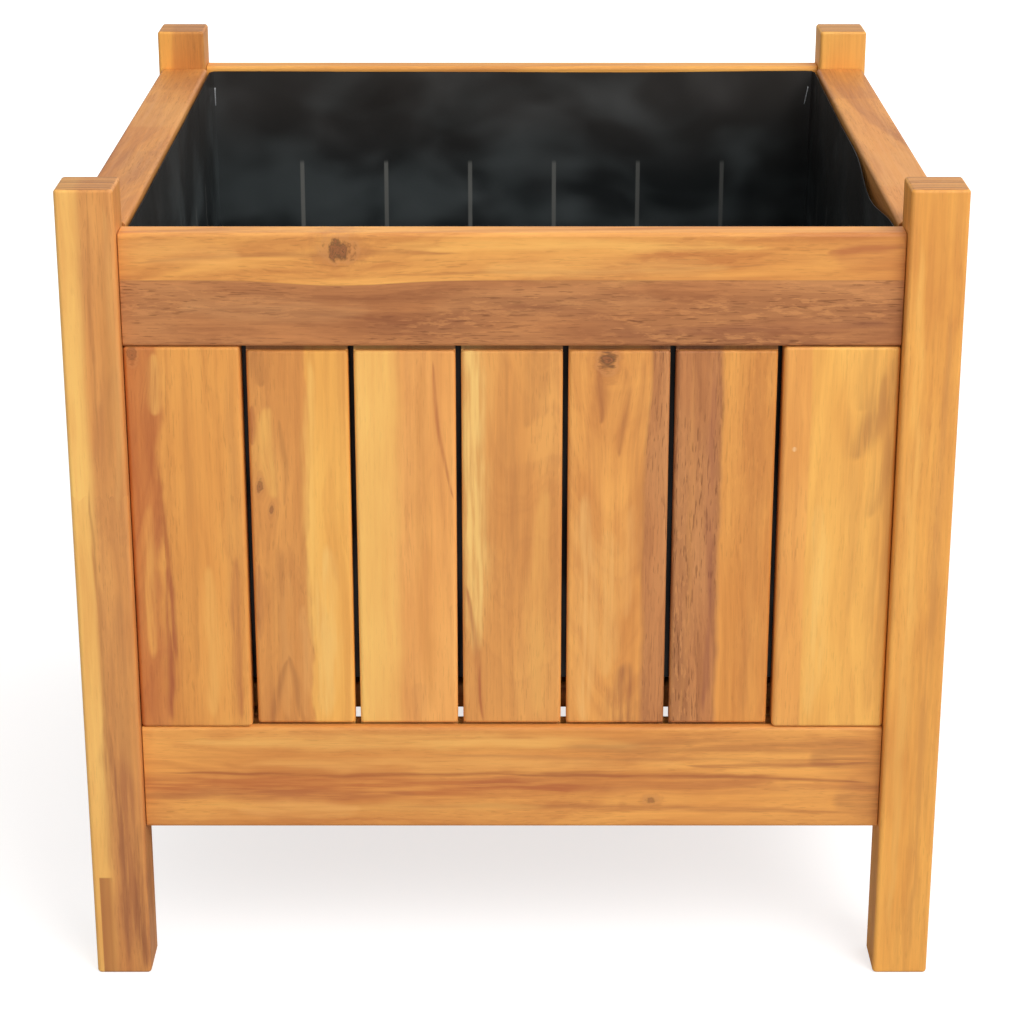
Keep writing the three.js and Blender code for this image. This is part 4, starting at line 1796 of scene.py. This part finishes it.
@dataclass(frozen=True)
class Stock:
    """Small pieces of one kind and metal.

    Attributes:
        tree: The tree that sets them.
        metal: Their material.
    """

    tree: Tree
    metal: Paint
    SLOT = "screw_steel"
    SHARP_ANGLE = math.radians(35)

    def grown(self, name: str, values: Mapping[str, object], *nodes: str) -> Piece:
        """Run the tree and keep its result as a plain mesh on the planter.

        Args:
            name: The piece's name.
            values: A value for each named input of the tree but the material.
            *nodes: The CAD nodes that the piece stands for.

        Returns:
            The plain object.
        """
        host = piece_from(bpy.data.meshes.new("host"), "host")
        modifier = host.modifiers.new("nodes", "NODES")
        modifier.node_group = self.tree
        values = {**values, "Material": self.metal}
        for item in self.tree.interface.items_tree:
            if item.item_type == "SOCKET" and item.in_out == "INPUT":
                modifier[item.identifier] = values[item.name]
        made = frozen(host, name)
        made.data.shade_smooth()
        made.data.set_sharp_from_angle(angle=self.SHARP_ANGLE)
        if nodes:
            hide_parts(*nodes)
        return fastened(made)


@dataclass
class Hardware:
    """Every screw, brad and staple of the planter.

    Attributes:
        steel: The screws' and brads' finish.
        bright: The staples' finish.
        corner_height: Height of the middle between the upper and lower corner screws.
        corner_spread: Distance between the upper and lower corner screws.
        panel_centre: Distance of the front and rear rails' middles from the planter's middle.
        ledger_screws: Number of screws in a ledger.
        ledger_spread: Distance between its outer screws.
        ledger_sink: How deep their heads sit in the ledger.
        brad_rows: Number of brads along a batten.
        brad_pitch: Distance between them.
        brad_sink: How deep their heads sit in the batten.
        film_face: Distance of the film's front and rear walls from the planter's middle.
        staple_ends: Places of a wall's two staples, across and up.
        staple_tilt: How far the right one leans.
    """

    steel: MetalFinish
    bright: MetalFinish
    corner_height: float = 220.75 * MM
    corner_spread: float = 238.5 * MM
    panel_centre: float = 187 * MM
    ledger_screws: int = 4
    ledger_spread: float = 288 * MM
    ledger_sink: float = 0.2 * MM
    brad_rows: int = 12
    brad_pitch: float = 29.4 * MM
    brad_sink: float = 0.1 * MM
    film_face: float = 178.3 * MM
    staple_ends: tuple[Pair, Pair] = ((-169 * MM, 349 * MM), (167.5 * MM, 350 * MM))
    staple_tilt: float = math.radians(11)
    SCREW_SEEDS = {"corner": 4, "ledger": 9, "brad": 2}
    STAPLE = {
        "Crown": 10 * MM, "Leg": 8 * MM, "Wire Width": 1.1 * MM, "Wire Thickness": 0.5 * MM, "Bend": 0.7 * MM,
    }

    def build(self) -> list[Piece]:
        """Build the hardware."""
        screws = Stock(ScrewTree().build(), self.steel.material())
        staples = Stock(StapleTree().build(), self.bright.material())
        made = [self._corner_screws(screws, hand) for hand in Hand]
        made += [self._ledger_screws(screws, end) for end in End]
        made.append(self._brads(screws))
        made += [self._staples(staples, end) for end in End]
        return made

    def _grid(
        self, size: ScrewSize, counts: tuple[int, int], spread: Pair, middle: Triple, turn: Triple, seed: int
    ) -> dict[str, object]:
        """Lay a grid of equal screws out on the ground, turned and then moved to its middle."""
        (columns, rows), (width, depth) = counts, spread
        return {
            "Columns": columns, "Rows": rows, "Width": width, "Depth": depth,
            "Middle": middle, "Turn": turn, "Seed": seed, **size.inputs(),
        }

    def _corner_screws(self, screws: Stock, hand: Hand) -> Piece:
        """Set the four screws that go in from the left or right."""
        side = hand.name.lower()
        middle = (hand.value * JOINERY.screw_start, 0, self.corner_height)
        spread = (self.corner_spread, 2 * self.panel_centre)
        turn = (0, hand.value * QUARTER, 0)
        values = self._grid(CORNER_SCREW, (2, 2), spread, middle, turn, self.SCREW_SEEDS["corner"])
        nodes = [f"screw_{end}_{side}_{level}" for end in ("front", "rear") for level in ("top", "bottom")]
        return screws.grown(f"corner_screws_{side}", values, *nodes)

    def _ledger_screws(self, screws: Stock, end: End) -> Piece:
        """Set the screws that hold a ledger to its rail."""
        side = end.name.lower()
        low, high = corners(f"ledger_{side}")
        face = high.y if end is End.FRONT else low.y
        middle = (0, face + end.value * self.ledger_sink, (low.z + high.z) / 2)
        counts, spread = (self.ledger_screws, 1), (self.ledger_spread, 0.0)
        turn = (end.value * QUARTER, 0, 0)
        values = self._grid(LEDGER_SCREW, counts, spread, middle, turn, self.SCREW_SEEDS["ledger"])
        return screws.grown(f"ledger_screws_{side}", values)

    def _brads(self, screws: Stock) -> Piece:
        """Set the brads that hold the bottom boards on their battens, two to each crossing."""
        low, high = corners("bottom_batten_right")
        spread = (low.x + high.x, (self.brad_rows - 1) * self.brad_pitch)
        middle = (0, 0, low.z + self.brad_sink)
        turn = (math.pi, 0, 0)
        values = self._grid(BRAD, (2, self.brad_rows), spread, middle, turn, self.SCREW_SEEDS["brad"])
        return screws.grown("bottom_brads", values)

    def _staples(self, staples: Stock, end: End) -> Piece:
        """Set the two staples that hold the film to the front or rear rail."""
        first, last = ((across, end.value * self.film_face, up) for across, up in self.staple_ends)
        turn = (0.0, 0.0, 0.0 if end is End.REAR else math.pi)
        tilt = end.value * self.staple_tilt
        values = {"Count": 2, "First": first, "Last": last, "Turn": turn, "Tilt": tilt, **self.STAPLE}
        return staples.grown(f"film_staples_{end.name.lower()}", values)


@dataclass
class Studio:
    """The floor, the lights, the sky and the camera.

    Attributes:
        camera_place: Where the camera stands.
        tilt: How far it looks down, in degrees.
        lens: Its focal length in millimetres.
        shift: Its upward lens shift.
        sky_left: Strength of the soft light from the left.
        sky_right: Strength of the soft light from the right.
        floor_shade: How pale the floor's paint is.
        floor_lift: How much the camera sees the floor brightened near the planter and far from it.
        lift_reach: Distances where the brightening starts and stops to grow.
    """

    camera_place: Triple = (0.0, -1.36, 0.67)
    tilt: float = 19.8
    lens: float = 96.0
    shift: float = -0.03
    sky_left: float = 0.34
    sky_right: float = 0.9
    floor_shade: float = 0.55
    floor_lift: Pair = (0.7, 1.0)
    lift_reach: Pair = (0.9, 2.2)
    FLOOR_HALF = 20.0
    LIGHTS = (
        ("key", (1.1, -1.7, 1.9), (0.0, 0.0, 0.2), 1.6, 36.0),
        ("fill", (-1.6, -1.5, 0.9), (0.0, 0.0, 0.2), 1.6, 2.0),
        ("overhead", (0.1, 0.3, 2.2), (0.0, 0.0, 0.0), 1.4, 5.0),
    )

    def build(self) -> None:
        """Build the studio."""
        self._floor()
        self._world()
        for light in self.LIGHTS:
            self._light(*light)
        self._camera()
        bpy.context.scene.view_settings.view_transform = "Standard"

    def _floor(self) -> None:
        """Lay the pale floor, which shows the shadow on white."""
        half = self.FLOOR_HALF
        mesh = bpy.data.meshes.new("floor")
        square = [(-half, -half, 0), (half, -half, 0), (half, half, 0), (-half, half, 0)]
        mesh.from_pydata(square, [], [(0, 1, 2, 3)])
        made = piece_from(mesh, "floor")
        paint, g = new_paint("floor_paint")
        far = g.vector("LENGTH", g.place())
        lift = g.ramp(far, *self.lift_reach, *self.floor_lift) * g.seen()
        both = g.add("ShaderNodeAddShader", {
            0: g.add("ShaderNodeBsdfDiffuse", {"Color": (*(self.floor_shade,) * 3, 1.0)}),
            1: g.add("ShaderNodeEmission", {"Color": WHITE, "Strength": lift}),
        })
        g.feed("Material Output", {"Surface": both})
        made.data.materials.append(paint)

    def _world(self) -> None:
        """Light the scene softly from all round, and show white behind it."""
        world = bpy.data.worlds.new("studio")
        bpy.context.scene.world = world
        world.use_nodes = True
        g = Graph(world.node_tree)
        aside = g.split(g.place("Generated"))[0]
        strength = g.ramp(aside, -1.0, 1.0, self.sky_left, self.sky_right)
        g.feed("Background", {"Color": WHITE, "Strength": strength})
        soft = Wire(g, g.tree.nodes["Background"].outputs[0])
        white = g.add("ShaderNodeBackground", {"Color": WHITE, "Strength": 1.0})
        g.feed("World Output", {"Surface": g.add("ShaderNodeMixShader", {0: g.seen(), 1: soft, 2: white})})

    def _light(self, name: str, place: Triple, aim: Triple, size: float, power: float) -> None:
        """Hang one soft light."""
        lamp = bpy.data.lights.new(name, "AREA")
        lamp.shape = "DISK"
        lamp.size = size
        lamp.energy = power
        made = bpy.data.objects.new(name, lamp)
        made.location = place
        way = Vector(aim) - Vector(place)
        made.rotation_euler = way.to_track_quat("-Z", "Y").to_euler()
        bpy.context.scene.collection.objects.link(made)

    def _camera(self) -> None:
        """Set up the camera."""
        lens = bpy.data.cameras.new("camera")
        lens.lens = self.lens
        lens.shift_y = self.shift
        lens.dof.use_dof = False
        made = bpy.data.objects.new("camera", lens)
        made.location = self.camera_place
        made.rotation_euler = (math.radians(90 - self.tilt), 0, 0)
        bpy.context.scene.collection.objects.link(made)
        bpy.context.scene.camera = made


def main() -> None:
    """Build the planter in its making order and report each piece."""
    logging.basicConfig(level=logging.INFO, format="%(name)s: %(message)s")
    yard = Yard(AcaciaGroup().build(), random.Random(20))
    made = CornerPosts(yard).build()
    for side in Side:
        made += FramedPanel(side, yard).build()
    made += SlattedBottom(yard).build()
    made.append(FilmLiner(FilmFinish()).build())
    made += Hardware(MetalFinish("screw_steel"), MetalFinish("staple_wire", "F0F1F2", 0.3, 0.5)).build()
    for piece in made:
        LOG.info("%s: %d faces", piece.name, len(piece.data.polygons))
    Studio().build()


if __name__ == "__main__":
    main()
